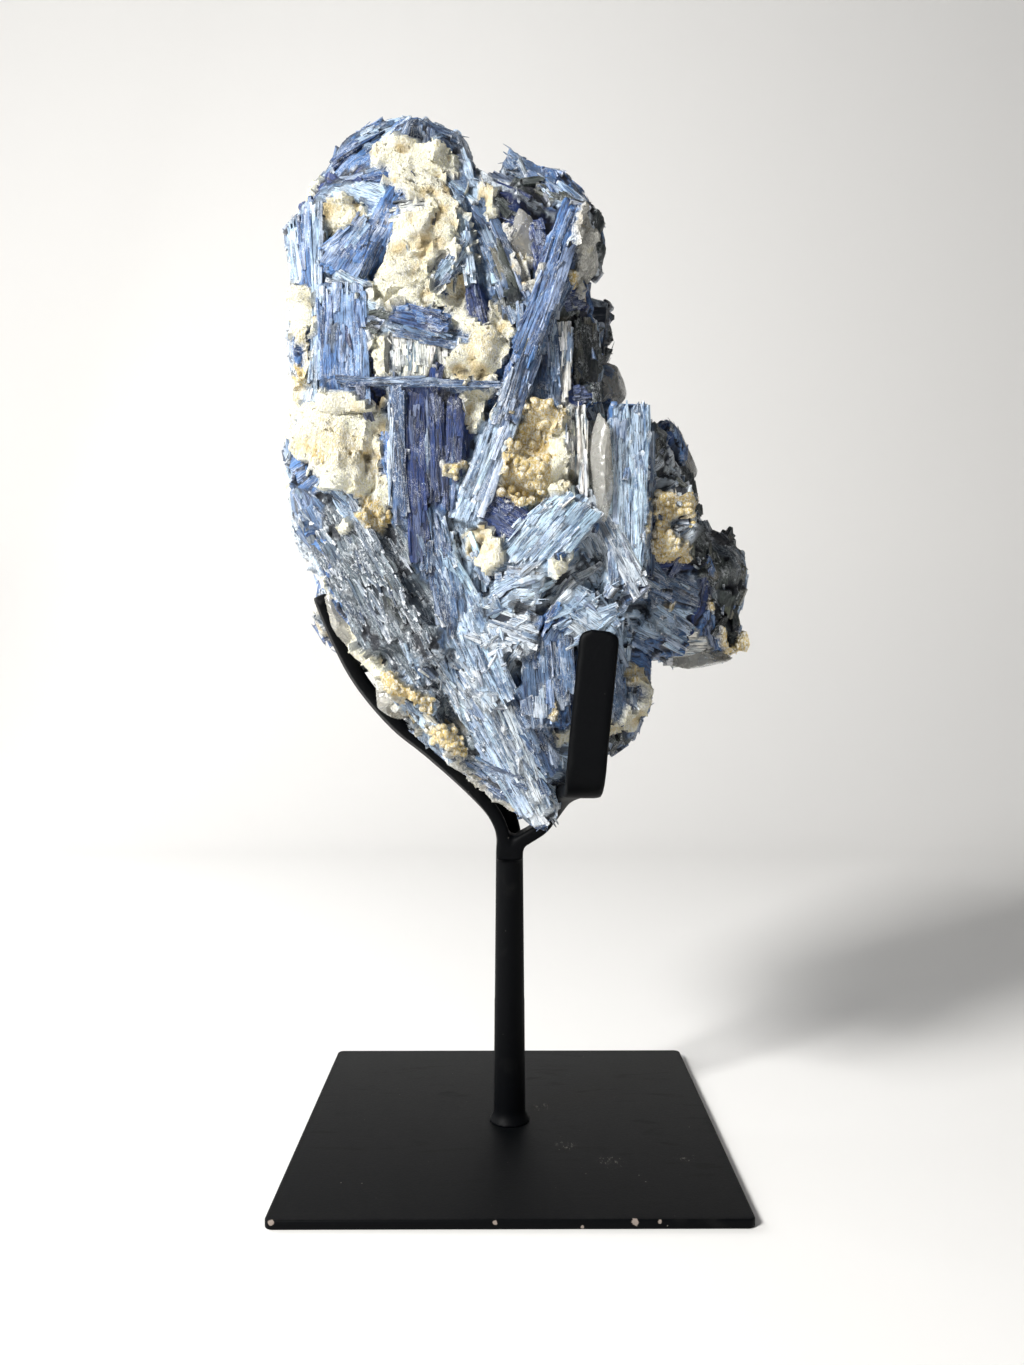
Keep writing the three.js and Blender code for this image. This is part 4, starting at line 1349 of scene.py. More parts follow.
@dataclass
class Sheaf:
    """A mesh in the making: corners, quads, triangles and what is stored at the corners."""

    points: list[Array] = field(default_factory=list)
    quads: list[Array] = field(default_factory=list)
    triangles: list[Array] = field(default_factory=list)
    tint: list[Array] = field(default_factory=list)
    grain: list[Array] = field(default_factory=list)
    frost: list[Array] = field(default_factory=list)
    hollow: list[Array] = field(default_factory=list)
    count: int = 0

    @staticmethod
    def _crosswise(laths: Laths, strands: int, rng: np.random.Generator) -> tuple[Array, Array, Array]:
        """Where the strands lie across each blade, and how high and how tilted each one is."""
        n = len(laths.length)
        edges = np.linspace(-0.5, 0.5, strands + 1) + np.zeros((n, 1))
        edges[:, 1:-1] += rng.uniform(-0.32, 0.32, (n, strands - 1)) / strands
        u = np.stack([edges[:, 1:] - SLIT, edges[:, :-1] + SLIT], axis=-1)[:, ::-1].reshape(n, -1)
        steps = rng.uniform(-1, 0.6, (n, strands)) * laths.relief[:, None]
        tilt = rng.normal(0, 0.22, (n, strands)) * laths.relief[:, None]
        return u, steps, tilt

    @staticmethod
    def _lengthwise(
        laths: Laths, steps: Array, rows: int, breaks: int, rng: np.random.Generator
    ) -> tuple[Array, Array]:
        """The share of the length at each row of corners, and the strands' heights there.

        Args:
            laths: The blades.
            steps: The height of each strand.
            rows: How many rows of corners run along each blade.
            breaks: How many steps lie across each blade.
            rng: The source of random numbers.

        Returns:
            The shares and the heights.
        """
        n, strands = steps.shape
        relief = laths.relief[:, None, None]
        cut = np.sort(rng.uniform(0.12, 0.88, (n, breaks)), axis=1)
        t = np.linspace(0, 1, rows) + np.zeros((n, 1))
        t[:, 1:-1] += rng.uniform(-0.3, 0.3, (n, rows - 2)) / rows
        t = np.sort(np.concatenate([t, cut - SLIT, cut + SLIT], axis=1), axis=1)
        height = steps[:, None, :] + np.zeros((n, t.shape[1], 1))
        for b in range(breaks):
            drop = rng.uniform(-1.1, 0.5, (n, 1, strands)) * (rng.random((n, 1, strands)) < 0.5)
            side = np.where(rng.random((n, 1, 1)) < 0.5, 1, -1)
            height = height + drop * relief * ((t - cut[:, b : b + 1])[..., None] * side > 0)
        return t, height + rng.normal(0, 0.05, height.shape) * relief

    @staticmethod
    def _broken(laths: Laths, strands: int, rng: np.random.Generator) -> tuple[Array, Array]:
        """How far each strand falls short of the blade's two ends."""
        n = len(laths.length)
        rim = 1 + np.abs(np.linspace(-1, 1, strands)) ** 3
        ragged = np.minimum(laths.length * 0.2, 6.0)[:, None] * rim
        start = rng.uniform(0, 1, (n, strands)) ** 1.6 * ragged
        end = rng.uniform(0, 1, (n, strands)) ** 1.6 * ragged
        level = (np.linspace(-0.5, 0.5, strands) * laths.width[:, None])[:, None]
        slant = rng.normal(0, 0.3, (n, 2, 1)) * level
        start = start + slant[:, 0] - slant[:, 0].min(1, keepdims=True)
        end = end + slant[:, 1] - slant[:, 1].min(1, keepdims=True)
        over = np.maximum(1, (start + end).max(1, keepdims=True) / (laths.length[:, None] * 0.6))
        return start / over, end / over

    @staticmethod
    def _faces(total: int, around: int) -> tuple[Array, Array]:
        """The quads round one blade, and the triangles that close its two ends."""
        r, i = np.meshgrid(np.arange(total - 1), np.arange(around), indexing="ij")
        a, b = r * around + i, r * around + (i + 1) % around
        quads = np.stack([a, b, b + around, a + around], axis=-1).reshape(1, -1, 4)
        k = np.arange(around)
        ends = []
        for row, centre, flip in ((0, total * around, True), (total - 1, total * around + 1, False)):
            p, q = row * around + k, row * around + (k + 1) % around
            ends.append(np.stack([np.full(around, centre), *((q, p) if flip else (p, q))], axis=-1))
        return quads, np.concatenate(ends)[None]

    def add(self, laths: Laths, strands: int, rows: int, breaks: int, rng: np.random.Generator) -> None:
        """Adds blades that are each a bundle of strands, stepped across and broken at both ends.

        Args:
            laths: The blades.
            strands: How many strands lie side by side in each.
            rows: How many rows of corners run along each.
            breaks: How many steps lie across each.
            rng: The source of random numbers.
        """
        n = len(laths.length)
        if not n:
            return
        around = 2 * strands + 2
        u, steps, tilt = self._crosswise(laths, strands, rng)
        t, height = self._lengthwise(laths, steps, rows, breaks, rng)
        total = t.shape[1]
        long, wide = laths.length[:, None, None], laths.width[:, None, None]
        top = np.repeat(height, 2, axis=2)[:, :, ::-1] + np.stack([tilt, -tilt], axis=-1).reshape(n, 1, -1)
        soft = np.minimum(0.28, laths.thick * 0.2)
        top[:, :, 0] -= soft[:, None]
        top[:, :, -1] -= soft[:, None]
        start, end = self._broken(laths, strands, rng)
        v_strand = start[:, None] + (long - (start + end)[:, None]) * t[..., None]
        v_top = np.repeat(v_strand, 2, axis=2)[:, :, ::-1]
        slim = np.where(laths.width < 4, 0.85, 0.2)[:, None, None] * rng.random((n, 1, 1))
        toward = np.where(rng.random((n, 1, 1)) < 0.5, t[..., None], 1 - t[..., None])
        taper = 1 - slim * toward**1.5
        arch = long * (4 * (t[..., None] - 0.5) ** 2)
        bow = rng.normal(0, 0.012, (n, 1, 1)) * arch
        lift = rng.normal(0, 0.006, (n, 1, 1)) * arch
        low_u = np.array([-0.5, 0.5])[None, None] * wide * taper * 0.94 + bow
        low_v = np.stack([v_top[:, :, -1], v_top[:, :, 0]], axis=-1)
        low_h = np.broadcast_to(-laths.thick[:, None, None], low_u.shape)
        uu = np.concatenate([low_u, u[:, None, :] * wide * taper + bow], axis=2)
        vv = np.concatenate([low_v, v_top], axis=2) - long / 2
        hh = np.concatenate([low_h, top + lift], axis=2)
        ways = ((uu, np.cross(laths.out, laths.along)), (vv, laths.along), (hh, laths.out))
        ring = sum(value[..., None] * way[:, None, None] for value, way in ways)
        ring = laths.middle[:, None, None] + ring
        centres = ring[:, [0, -1]].mean(2)
        self.points.append(np.concatenate([ring.reshape(n, -1, 3), centres], axis=1).reshape(-1, 3))
        seeds = rng.uniform(0, 400, (n, 1, 1)) + np.zeros_like(uu)
        grain = np.stack([uu + seeds, vv + seeds * 3, seeds], axis=-1).reshape(n, -1, 3)
        self.grain.append(np.concatenate([grain, grain[:, :2]], axis=1).reshape(-1, 3))
        tone = 1 + rng.normal(0, 0.09, (n, 1, strands)) + rng.normal(0, 0.1, (n, 1, 1))
        tone = np.repeat(np.broadcast_to(tone, (n, total, strands)), 2, axis=2)[:, :, ::-1]
        # The two low corners of each blade's sides are tinted darker: painted shade where the blade meets
        # the rock.
        tone = np.concatenate([np.full((n, total, 2), 0.8), tone], axis=2)
        tint = np.clip(laths.tint[:, None, None] * tone[..., None], 0, 1).reshape(n, -1, 3)
        self.tint.append(np.concatenate([tint, tint[:, :2]], axis=1).reshape(-1, 3))
        to_end = np.minimum(vv + long / 2, long / 2 - vv)
        rim = np.exp(-to_end / 1.3) + 0.45 * (np.abs(uu) > 0.46 * wide)
        white = (laths.frost[:, None, None] * (0.45 + rim)).reshape(n, -1)
        white = np.concatenate([white, laths.frost[:, None] + np.zeros((n, 2))], axis=1)
        self.frost.append(np.clip(white, 0, 1).reshape(-1))
        # Painted shade: the low corners of each blade's sides, and its end centres a little, are marked
        # hollow for the finish to darken.
        deep = np.zeros((n, total, around))
        deep[:, :, :2] = 1.0
        self.hollow.append(np.concatenate([deep.reshape(n, -1), np.full((n, 2), 0.3)], axis=1).reshape(-1))
        each = total * around + 2
        base = (self.count + np.arange(n) * each)[:, None, None]
        quads, triangles = self._faces(total, around)
        self.quads.append((quads + base).reshape(-1, 4))
        self.triangles.append((triangles + base).reshape(-1, 3))
        self.count += n * each

    def mesh(self) -> bpy.types.Mesh:
        """The blades as one mesh in metres, with tint, grain, frost and hollow stored at its corners."""
        points = clear_of_arms(np.concatenate(self.points))
        quads, triangles = np.concatenate(self.quads), np.concatenate(self.triangles)
        made = bpy.data.meshes.new("blades")
        made.vertices.add(len(points))
        made.vertices.foreach_set("co", (points * MM).astype(np.float32).ravel())
        order = np.concatenate([quads.ravel(), triangles.ravel()]).astype(np.int32)
        made.loops.add(len(order))
        made.loops.foreach_set("vertex_index", order)
        sizes = np.concatenate([np.full(len(quads), 4), np.full(len(triangles), 3)])
        made.polygons.add(len(sizes))
        starts = np.concatenate([[0], np.cumsum(sizes)[:-1]])
        made.polygons.foreach_set("loop_start", starts.astype(np.int32))
        made.update(calc_edges=True)
        made.validate()
        shade_edges(made, 32)
        tint = np.concatenate(self.tint)
        paint_corners(made, "tint", np.column_stack([tint, np.ones(len(tint))]))
        paint_corners(made, "grain", np.concatenate(self.grain))
        paint_corners(made, "frost", np.concatenate(self.frost))
        paint_corners(made, "hollow", np.concatenate(self.hollow))
        return made


def tints(kind: Kind, count: int, rng: np.random.Generator) -> Array:
    """Colours of one mineral that differ a little from blade to blade."""
    base = np.array(linear(kind.value))
    ends = ("A8A48F", "1D201B") if kind is Kind.DARK else ("DDE9F6", "1B3A6C")
    white, dusk = (np.array(linear(end)) for end in ends)
    spread = 0.12 if kind is Kind.DEEP else 0.26
    share = np.clip(rng.normal(0, spread, (count, 1)), -0.8, 0.6)
    mixed = np.where(share > 0, base + (white - base) * share, base + (dusk - base) * -share)
    return np.clip(mixed * (1 + rng.normal(0, 0.02, (count, 3))), 0, 1)


def bundle(blade: Blade, rng: np.random.Generator) -> tuple[Laths, Laths]:
    """One main blade of the solids, as a broad lath and the narrow ones that are split off its face.

    Args:
        blade: The main blade.
        rng: The source of random numbers.

    Returns:
        The broad lath, and the narrow ones.
    """
    middle, along, side, out, length = blade.frame()
    habit = HABITS[blade.kind]
    count = int(3 + blade.wide * length / 60)
    wide = rng.uniform(1.0, 1.4 + min(4.0, blade.wide * 0.4), count)
    long = length * rng.uniform(0.22, 0.75, count)
    u = rng.uniform(-0.52, 0.52, count) * (blade.wide - wide * 0.4)
    v = rng.uniform(-0.54, 0.54, count) * (length - long * 0.8)
    lift = rng.uniform(0.0, 0.5, count) * (1 - 0.5 * np.abs(u) / blade.wide)
    stray = np.radians(rng.normal(0, 2.2, count))[:, None]
    broad = Laths(
        middle=(middle - out * 0.1)[None],
        along=along[None],
        out=out[None],
        length=np.array([length + 1.0]),
        width=np.array([blade.wide * 0.97]),
        thick=np.array([blade.thick]),
        tint=tints(blade.kind, 1, rng),
        frost=np.array([habit.frost]),
        relief=np.array([0.14]),
    )
    narrow = Laths(
        middle=middle + side * u[:, None] + along * v[:, None] + out * lift[:, None],
        along=unit(along + side * stray),
        out=unit(out + rng.normal(0, 0.05, (count, 3))),
        length=long,
        width=wide,
        thick=1.6 + lift,
        tint=tints(blade.kind, count, rng),
        frost=np.full(count, habit.frost),
        relief=np.full(count, 0.1),
    )
    narrow.out = unit(narrow.out - narrow.along * np.sum(narrow.out * narrow.along, 1, keepdims=True))
    return broad, narrow


# The stone


@dataclass
class Seat:
    """A patch on the skin of the rock: where it is, its grain, its normal and its reach."""

    kind: Kind
    at: Array
    grain: Array
    normal: Array
    reach: tuple[float, float]


class Rock:
    """The body of rock that the blades grow in."""

    voxel: float = 1.3

    def __init__(self) -> None:
        """Builds the skin and finds the seats of the patches on it."""
        self.rng = np.random.default_rng(SEED)
        self.mesh = self._melt()
        self.points, self.normals = corners(self.mesh)
        self.front, self.back = self._front_seats(), self._back_seats()
        self.seats = self.front + self.back + self._blade_seats()
        self.smooth_tree = self.tree()
        self._carve()
        self.carved_tree = self.tree()

    def _melt(self) -> bpy.types.Mesh:
        """The body, the shoulder and the lumps as one skin."""
        shells = Shells()
        for sections, around in ((BODY, 64), (SHOULDER, 48)):
            heights = np.linspace(sections[-1].z, sections[0].z, 90)
            rings = [skin(sections, np.arange(around) / around * 2 * np.pi, z) for z in heights]
            points = np.concatenate(rings)
            middle = np.repeat([r.mean(0) for r in rings], around, axis=0)
            points = points + unit(points - middle) * (lumpy(points, 11) * 3)[:, None]
            shells.add(points, ring_faces(len(heights), around))
        points, faces = ball(4)
        for seed, lump in enumerate(LUMPS):
            shaped = points * (1 + 0.13 * lumpy(points * 2.3 + [seed * 5, 0, 0], 1))[:, None]
            shells.add(lump.placed(shaped), faces)
        box = [(0, 1, 3, 2), (4, 6, 7, 5), (0, 4, 5, 1), (2, 3, 7, 6), (0, 2, 6, 4), (1, 5, 7, 3)]
        for blade in BLADES:
            middle, along, side, out, length = blade.frame()
            rise = 0.2 if blade.rough else -0.5
            ends = [(a, b, c) for a in (-0.5, 0.5) for b in (-0.5, 0.5) for c in (-blade.thick, rise)]
            box_points = [middle + along * a * length + side * b * blade.wide + out * c for a, b, c in ends]
            shells.add(np.array(box_points), box)
        return shells.melted(self.voxel)

    def _blade_seats(self) -> list[Seat]:
        """The main blades as patches of the skin."""
        seats = []
        for blade in BLADES:
            middle, along, _, out, length = blade.frame()
            seats.append(Seat(blade.kind, middle, along, out, (length * 0.52, blade.wide * 0.55)))
        return seats

    def tree(self) -> BVHTree:
        """The skin as something that rays can hit, in millimetres."""
        faces = np.empty(len(self.mesh.loops), np.int32)
        self.mesh.loops.foreach_get("vertex_index", faces)
        sizes = np.empty(len(self.mesh.polygons), np.int32)
        self.mesh.polygons.foreach_get("loop_total", sizes)
        split = np.split(faces, np.cumsum(sizes)[:-1])
        return BVHTree.FromPolygons(self.points.tolist(), [f.tolist() for f in split])

    def _front_seats(self) -> list[Seat]:
        """The patches of the front, found by rays through their pixels."""
        tree = self.tree()
        right, up, _ = VIEW.axes()
        eye = np.array(VIEW.eye)
        seats = []
        for patch in FRONT_PATCHES:
            ray = VIEW.ray(patch.x, patch.y)
            hit, normal, _, far = tree.ray_cast(Vector(eye), Vector(ray))
            if hit is None:
                hit, normal, _, _ = tree.find_nearest(Vector(eye + ray * 400))
                far = (hit - Vector(eye)).length
            normal = unit(np.array(normal) - ray * 0.6)
            lean = math.radians(patch.lean)
            grain = right * math.sin(lean) + up * math.cos(lean)
            grain = unit(grain - normal * (grain @ normal))
            scale = far / VIEW.focal
            reach = (patch.long * scale, patch.broad * scale)
            seats.append(Seat(patch.kind, np.array(hit), grain, normal, reach))
        return seats

    def _back_seats(self) -> list[Seat]:
        """Patches on the sides and back, spread evenly over what the front patches leave."""
        side = self.normals @ np.array([0.0, -1.0, 0.0])
        open_to = np.nonzero((side < 0.45) & (self.points[:, 1] > -34))[0]
        chosen = [int(self.rng.choice(open_to))]
        far = np.full(len(open_to), 1e9)
        kinds = (Kind.BLUE, Kind.PALE, Kind.STEEL, Kind.DEEP, Kind.BLUE, Kind.FROST, Kind.STEEL)
        seats = []
        for _ in range(120):
            here = self.points[chosen[-1]]
            far = np.minimum(far, np.linalg.norm(self.points[open_to] - here, axis=1))
            chosen.append(int(open_to[np.argmax(far * self.rng.uniform(0.75, 1, len(far)))]))
            normal = self.normals[chosen[-2]]
            slow = lumpy(here[None], 70, 5)[0] * 1.4 + self.rng.normal(0, 0.35)
            level = unit(np.cross([0.0, 0.0, 1.0], normal + 1e-4))
            rising = np.cross(normal, level)
            grain = unit(level * math.sin(slow) + rising * math.cos(slow))
            kind = kinds[int(self.rng.integers(len(kinds)))]
            mineral = lumpy(here[None], 34, 8)[0]
            if mineral > 0.34 and 150 < here[2] < 335:
                kind = Kind.CREAM
            elif mineral < -0.5 and here[2] < 300:
                kind = Kind.DARK
            reach = (self.rng.uniform(15, 30), self.rng.uniform(4, 9))
            seats.append(Seat(kind, here, grain, normal, reach))
        return seats

    def zones(self, points: Array) -> tuple[Array, Array]:
        """For each place, the seat that it belongs to and the grain there."""
        warp = np.stack([lumpy(points, 9, k) for k in (11, 12, 13)], axis=1) * 3.0
        warp += np.stack([lumpy(points, 3, k) for k in (14, 15, 16)], axis=1) * 1.7
        best = np.full(len(points), 1e9)
        owner = np.zeros(len(points), int)
        for i, seat in enumerate(self.seats):
            offset = points + warp - seat.at
            side = np.cross(seat.normal, seat.grain)
            gap = (offset @ seat.grain / seat.reach[0]) ** 2 + (offset @ side / seat.reach[1]) ** 2
            gap += (offset @ seat.normal / 16) ** 2
            closer = gap < best
            best[closer], owner[closer] = gap[closer], i
        return owner, np.array([s.grain for s in self.seats])[owner]

    def _carve(self) -> None:
        """Gives each mineral its own relief, hollows and colour."""
        points, normals = self.points, self.normals
        for centre, radius in PITS:
            away = np.linalg.norm(points - centre, axis=1)
            depth = np.sqrt(np.clip(radius**2 - np.clip(away, 0, radius) ** 2, 0, None))
            points = points - normals * (depth * 0.75 * smooth(0.0, 3.0, depth))[:, None]
        owner, grain = self.zones(points)
        kinds = np.array([list(Kind).index(s.kind) for s in self.seats])[owner]
        is_kind = {kind: kinds == i for i, kind in enumerate(Kind)}
        facing = np.array([seat.normal for seat in self.seats])[owner]
        side = unit(np.cross(facing, grain))
        wave = np.stack([lumpy(points, 4, k) for k in (5, 6, 7)], axis=1)
        ribs = np.stack([np.sum(points * grain, 1) / 9, np.sum(points * side, 1) / 1.5, owner * 3.1], axis=1)
        ribbed = facets(ribs + wave * 0.12, 1, 0.8, 0.5)
        cleft = points @ np.array([[0.9, 0.3, 0.1], [-0.3, 0.9, 0.1], [-0.1, -0.1, 0.6]]) + wave * 0.9
        crumbs = rough(points, 15, 2, 3) * 1.1
        crumbs = crumbs + facets(cleft, 7, 0.4, 0.3) + facets(cleft, 2.6, 0.2, 0.25, 2)
        chips = rough(points, 3.2, 2, 9)
        holes = 1 - smooth(0.08, 0.5, pits(points + wave * 0.9, 12))
        grainy = is_kind[Kind.CREAM] | is_kind[Kind.OCHRE] | is_kind[Kind.QUARTZ]
        chunky = is_kind[Kind.DARK] | is_kind[Kind.SPECKLED] | is_kind[Kind.FROST]
        flat = owner >= len(self.seats) - len(BLADES)
        ahead = smooth(0.3, 0.8, -normals[:, 1]) * 1.6
        out = np.where(grainy, 0.7 + ahead + crumbs + chips * 0.4 - holes * 2.0, -0.3 + ribbed * 0.8)
        out = np.where(flat, -0.2 + ribbed * 0.45, out)
        blocks = facets(points + wave, 7, 1.5, 0.5, 6) * np.where(is_kind[Kind.DARK], 1.0, 0.35)
        out = np.where(chunky, -0.2 + blocks + ribbed * 0.4 + chips * 0.3, out)
        out = np.where(is_kind[Kind.WHITE], ribbed * 0.6 - 0.3, out)
        # How hollow each place is. On kyanite it becomes painted shade; on feldspar it carries rust stains,
        # and painted shade in the deepest parts.
        hollow = np.where(grainy, holes + smooth(0.5, 2.2, -crumbs - chips * 0.6) * 0.8, -0.1 - out * 0.75)
        hollow = np.clip(hollow, 0, 1.2)
        points = clear_of_arms(points + normals * out[:, None])
        palette = np.array([linear(kind.value) for kind in Kind])
        tint = palette[kinds] * (1 + 0.14 * rough(points, 8, 3, 21))[:, None]
        ochre = (smooth(0.25, 0.9, rough(points, 17, 3, 31)) * is_kind[Kind.CREAM] * 0.45)[:, None]
        tint = tint * (1 - ochre) + np.array(linear(Kind.OCHRE.value)) * ochre
        self.points = points
        move_corners(self.mesh, points)
        self.points, self.normals = corners(self.mesh)
        shade_edges(self.mesh, 55)
        paint_corners(self.mesh, "tint", np.column_stack([np.clip(tint, 0, 1), np.ones(len(points))]))
        paint_corners(self.mesh, "hollow", hollow)
        level = grain - self.normals * np.sum(grain * self.normals, 1)[:, None]
        paint_corners(self.mesh, "grain_way", unit(level))
        bladed = ~grainy
        paint_corners(self.mesh, "crumbly", np.where(grainy, 1.0 - 0.8 * np.clip(hollow, 0, 1), 0.0))
        paint_corners(self.mesh, "fibrous", np.where(bladed, 1.0, 0.06))
        flow = np.stack([np.sum(points * side, 1), np.sum(points * grain, 1), owner * 7.7], axis=1)
        paint_corners(self.mesh, "grain", flow)
        frosty = np.array([HABITS[seat.kind].frost for seat in self.seats])[owner]
        paint_corners(self.mesh, "frost", np.clip(frosty * (0.55 + 0.5 * smooth(0, 1.2, out)), 0, 1))
        sides = np.empty(len(self.mesh.loops), np.int32)
        self.mesh.loops.foreach_get("vertex_index", sides)
        starts = np.empty(len(self.mesh.polygons), np.int32)
        self.mesh.polygons.foreach_get("loop_start", starts)
        self.mesh.polygons.foreach_set("material_index", bladed[sides[starts]].astype(np.int32))
        paint_corners(self.mesh, "nodular", is_kind[Kind.OCHRE] * (points[:, 1] < -30))

    def hugging(self, laths: Laths, most: float = 2.4) -> Laths:
        """Blades whose ends stay near the skin: those that overhang are shortened or left out.

        Args:
            laths: The blades.
            most: How far an end may be from the skin.

        Returns:
            Those that are kept.
        """
        keep = np.ones(len(laths.length), bool)
        for i in range(len(keep)):
            for _ in range(4):
                half = laths.along[i] * laths.length[i] / 2
                ends = (Vector(laths.middle[i] + way * half) for way in (-1, 1))
                gaps = [self.carved_tree.find_nearest(end)[3] for end in ends]
                if max(gaps) <= most:
                    break
                if min(gaps) <= most:
                    laths.middle[i] += half * 0.3 * (1 if gaps[0] > gaps[1] else -1)
                laths.length[i] *= 0.7
            keep[i] = max(gaps) <= most * 1.3
        return laths.picked(keep)

    def small_laths(self, seats: list[Seat], share: float) -> Laths:
        """The small blades of some patches, each laid on the skin.

        Args:
            seats: The patches.
            share: How much of each habit's cover is laid.

        Returns:
            The blades.
        """
        rows = []
        for seat in seats:
            habit = HABITS[seat.kind]
            each = np.mean(habit.length) * np.mean(habit.width)
            count = int(share * habit.cover * math.pi * seat.reach[0] * seat.reach[1] / each)
            side = np.cross(seat.normal, seat.grain)
            for _ in range(count):
                a, r = self.rng.uniform(0, 2 * math.pi), math.sqrt(self.rng.random()) * 1.08
                start = seat.at + seat.grain * (r * math.cos(a) * seat.reach[0])
                start = start + side * (r * math.sin(a) * seat.reach[1]) + seat.normal * 22
                hit, normal, _, _ = self.smooth_tree.ray_cast(Vector(start), Vector(-seat.normal), 60)
                if hit is None:
                    continue
                normal = unit(np.array(normal) + seat.normal * 0.5 + self.rng.normal(0, 0.12, 3))
                stray = math.radians(self.rng.normal(0, habit.stray))
                along = seat.grain * math.cos(stray) + side * math.sin(stray)
                along = unit(along - normal * (along @ normal) + normal * self.rng.normal(0, 0.05))
                normal = unit(normal - along * (along @ normal))
                long = self.rng.uniform(*habit.length) * self.rng.uniform(0.7, 1.15)
                wide = self.rng.uniform(*habit.width)
                lift = self.rng.uniform(*habit.lift)
                middle = np.array(hit) + normal * lift
                rows.append((middle, along, normal, long, wide, 2.2 + lift, seat.kind))
        middle, alongs, out, length, width, thick, kinds = zip(*rows)
        laths = Laths(
            middle=np.array(middle),
            along=np.array(alongs),
            out=np.array(out),
            length=np.array(length),
            width=np.array(width),
            thick=np.array(thick),
            tint=np.concatenate([tints(kind, 1, self.rng) for kind in kinds]),
            frost=np.array([HABITS[kind].frost for kind in kinds]),
            relief=np.array([HABITS[kind].relief for kind in kinds]),
        )
        return self.hugging(laths)


@dataclass(frozen=True)
class Quartz:
    """Pieces of grey quartz that stand out of the rock, each at a place, with radii and a tilt."""

    pieces: tuple[Lump, ...] = (
        Lump((37, 9, 277), (9, 12, 11)),
        Lump((62, 8, 252), (8, 13, 14), -15),
        Lump((1, -35, 311), (7, 5, 15), 12),
        Lump((26, -31, 314), (5, 6, 12)),
        Lump((30.5, -43, 237), (5.2, 5, 23)),
        Lump((-61, -18, 189), (3.5, 7, 13), -24),
        Lump((-41, -29, 161), (9, 5, 5), 40),
        Lump((68, -4, 175), (13, 10, 4.5), -8),
    )

    def mesh(self) -> bpy.types.Mesh:
        """All the pieces as one mesh of flat facets."""
        sphere, faces = ball(4)
        rng = np.random.default_rng(SEED + 5)
        points, all_faces = [], []
        for number, lump in enumerate(self.pieces):
            sides = unit(rng.normal(0, 1, (22, 3)))
            facing = np.maximum(sphere @ sides.T, 0.05)
            reach = np.min(rng.uniform(0.62, 0.95, 22) / facing, axis=1)
            radii = np.array(lump.radii)
            shaped = sphere * np.minimum(reach, 1.15)[:, None] * radii
            shaped = shaped + unit(shaped) * (0.12 * facets(shaped, 2.2, 0.6, 0.4, number + 3))[:, None]
            points.append(clear_of_arms(lump.placed(shaped / radii)))
            all_faces += [tuple(i + number * len(sphere) for i in face) for face in faces]
        made = new_mesh("quartz", np.concatenate(points), all_faces)
        shade_edges(made, 22)
        return made


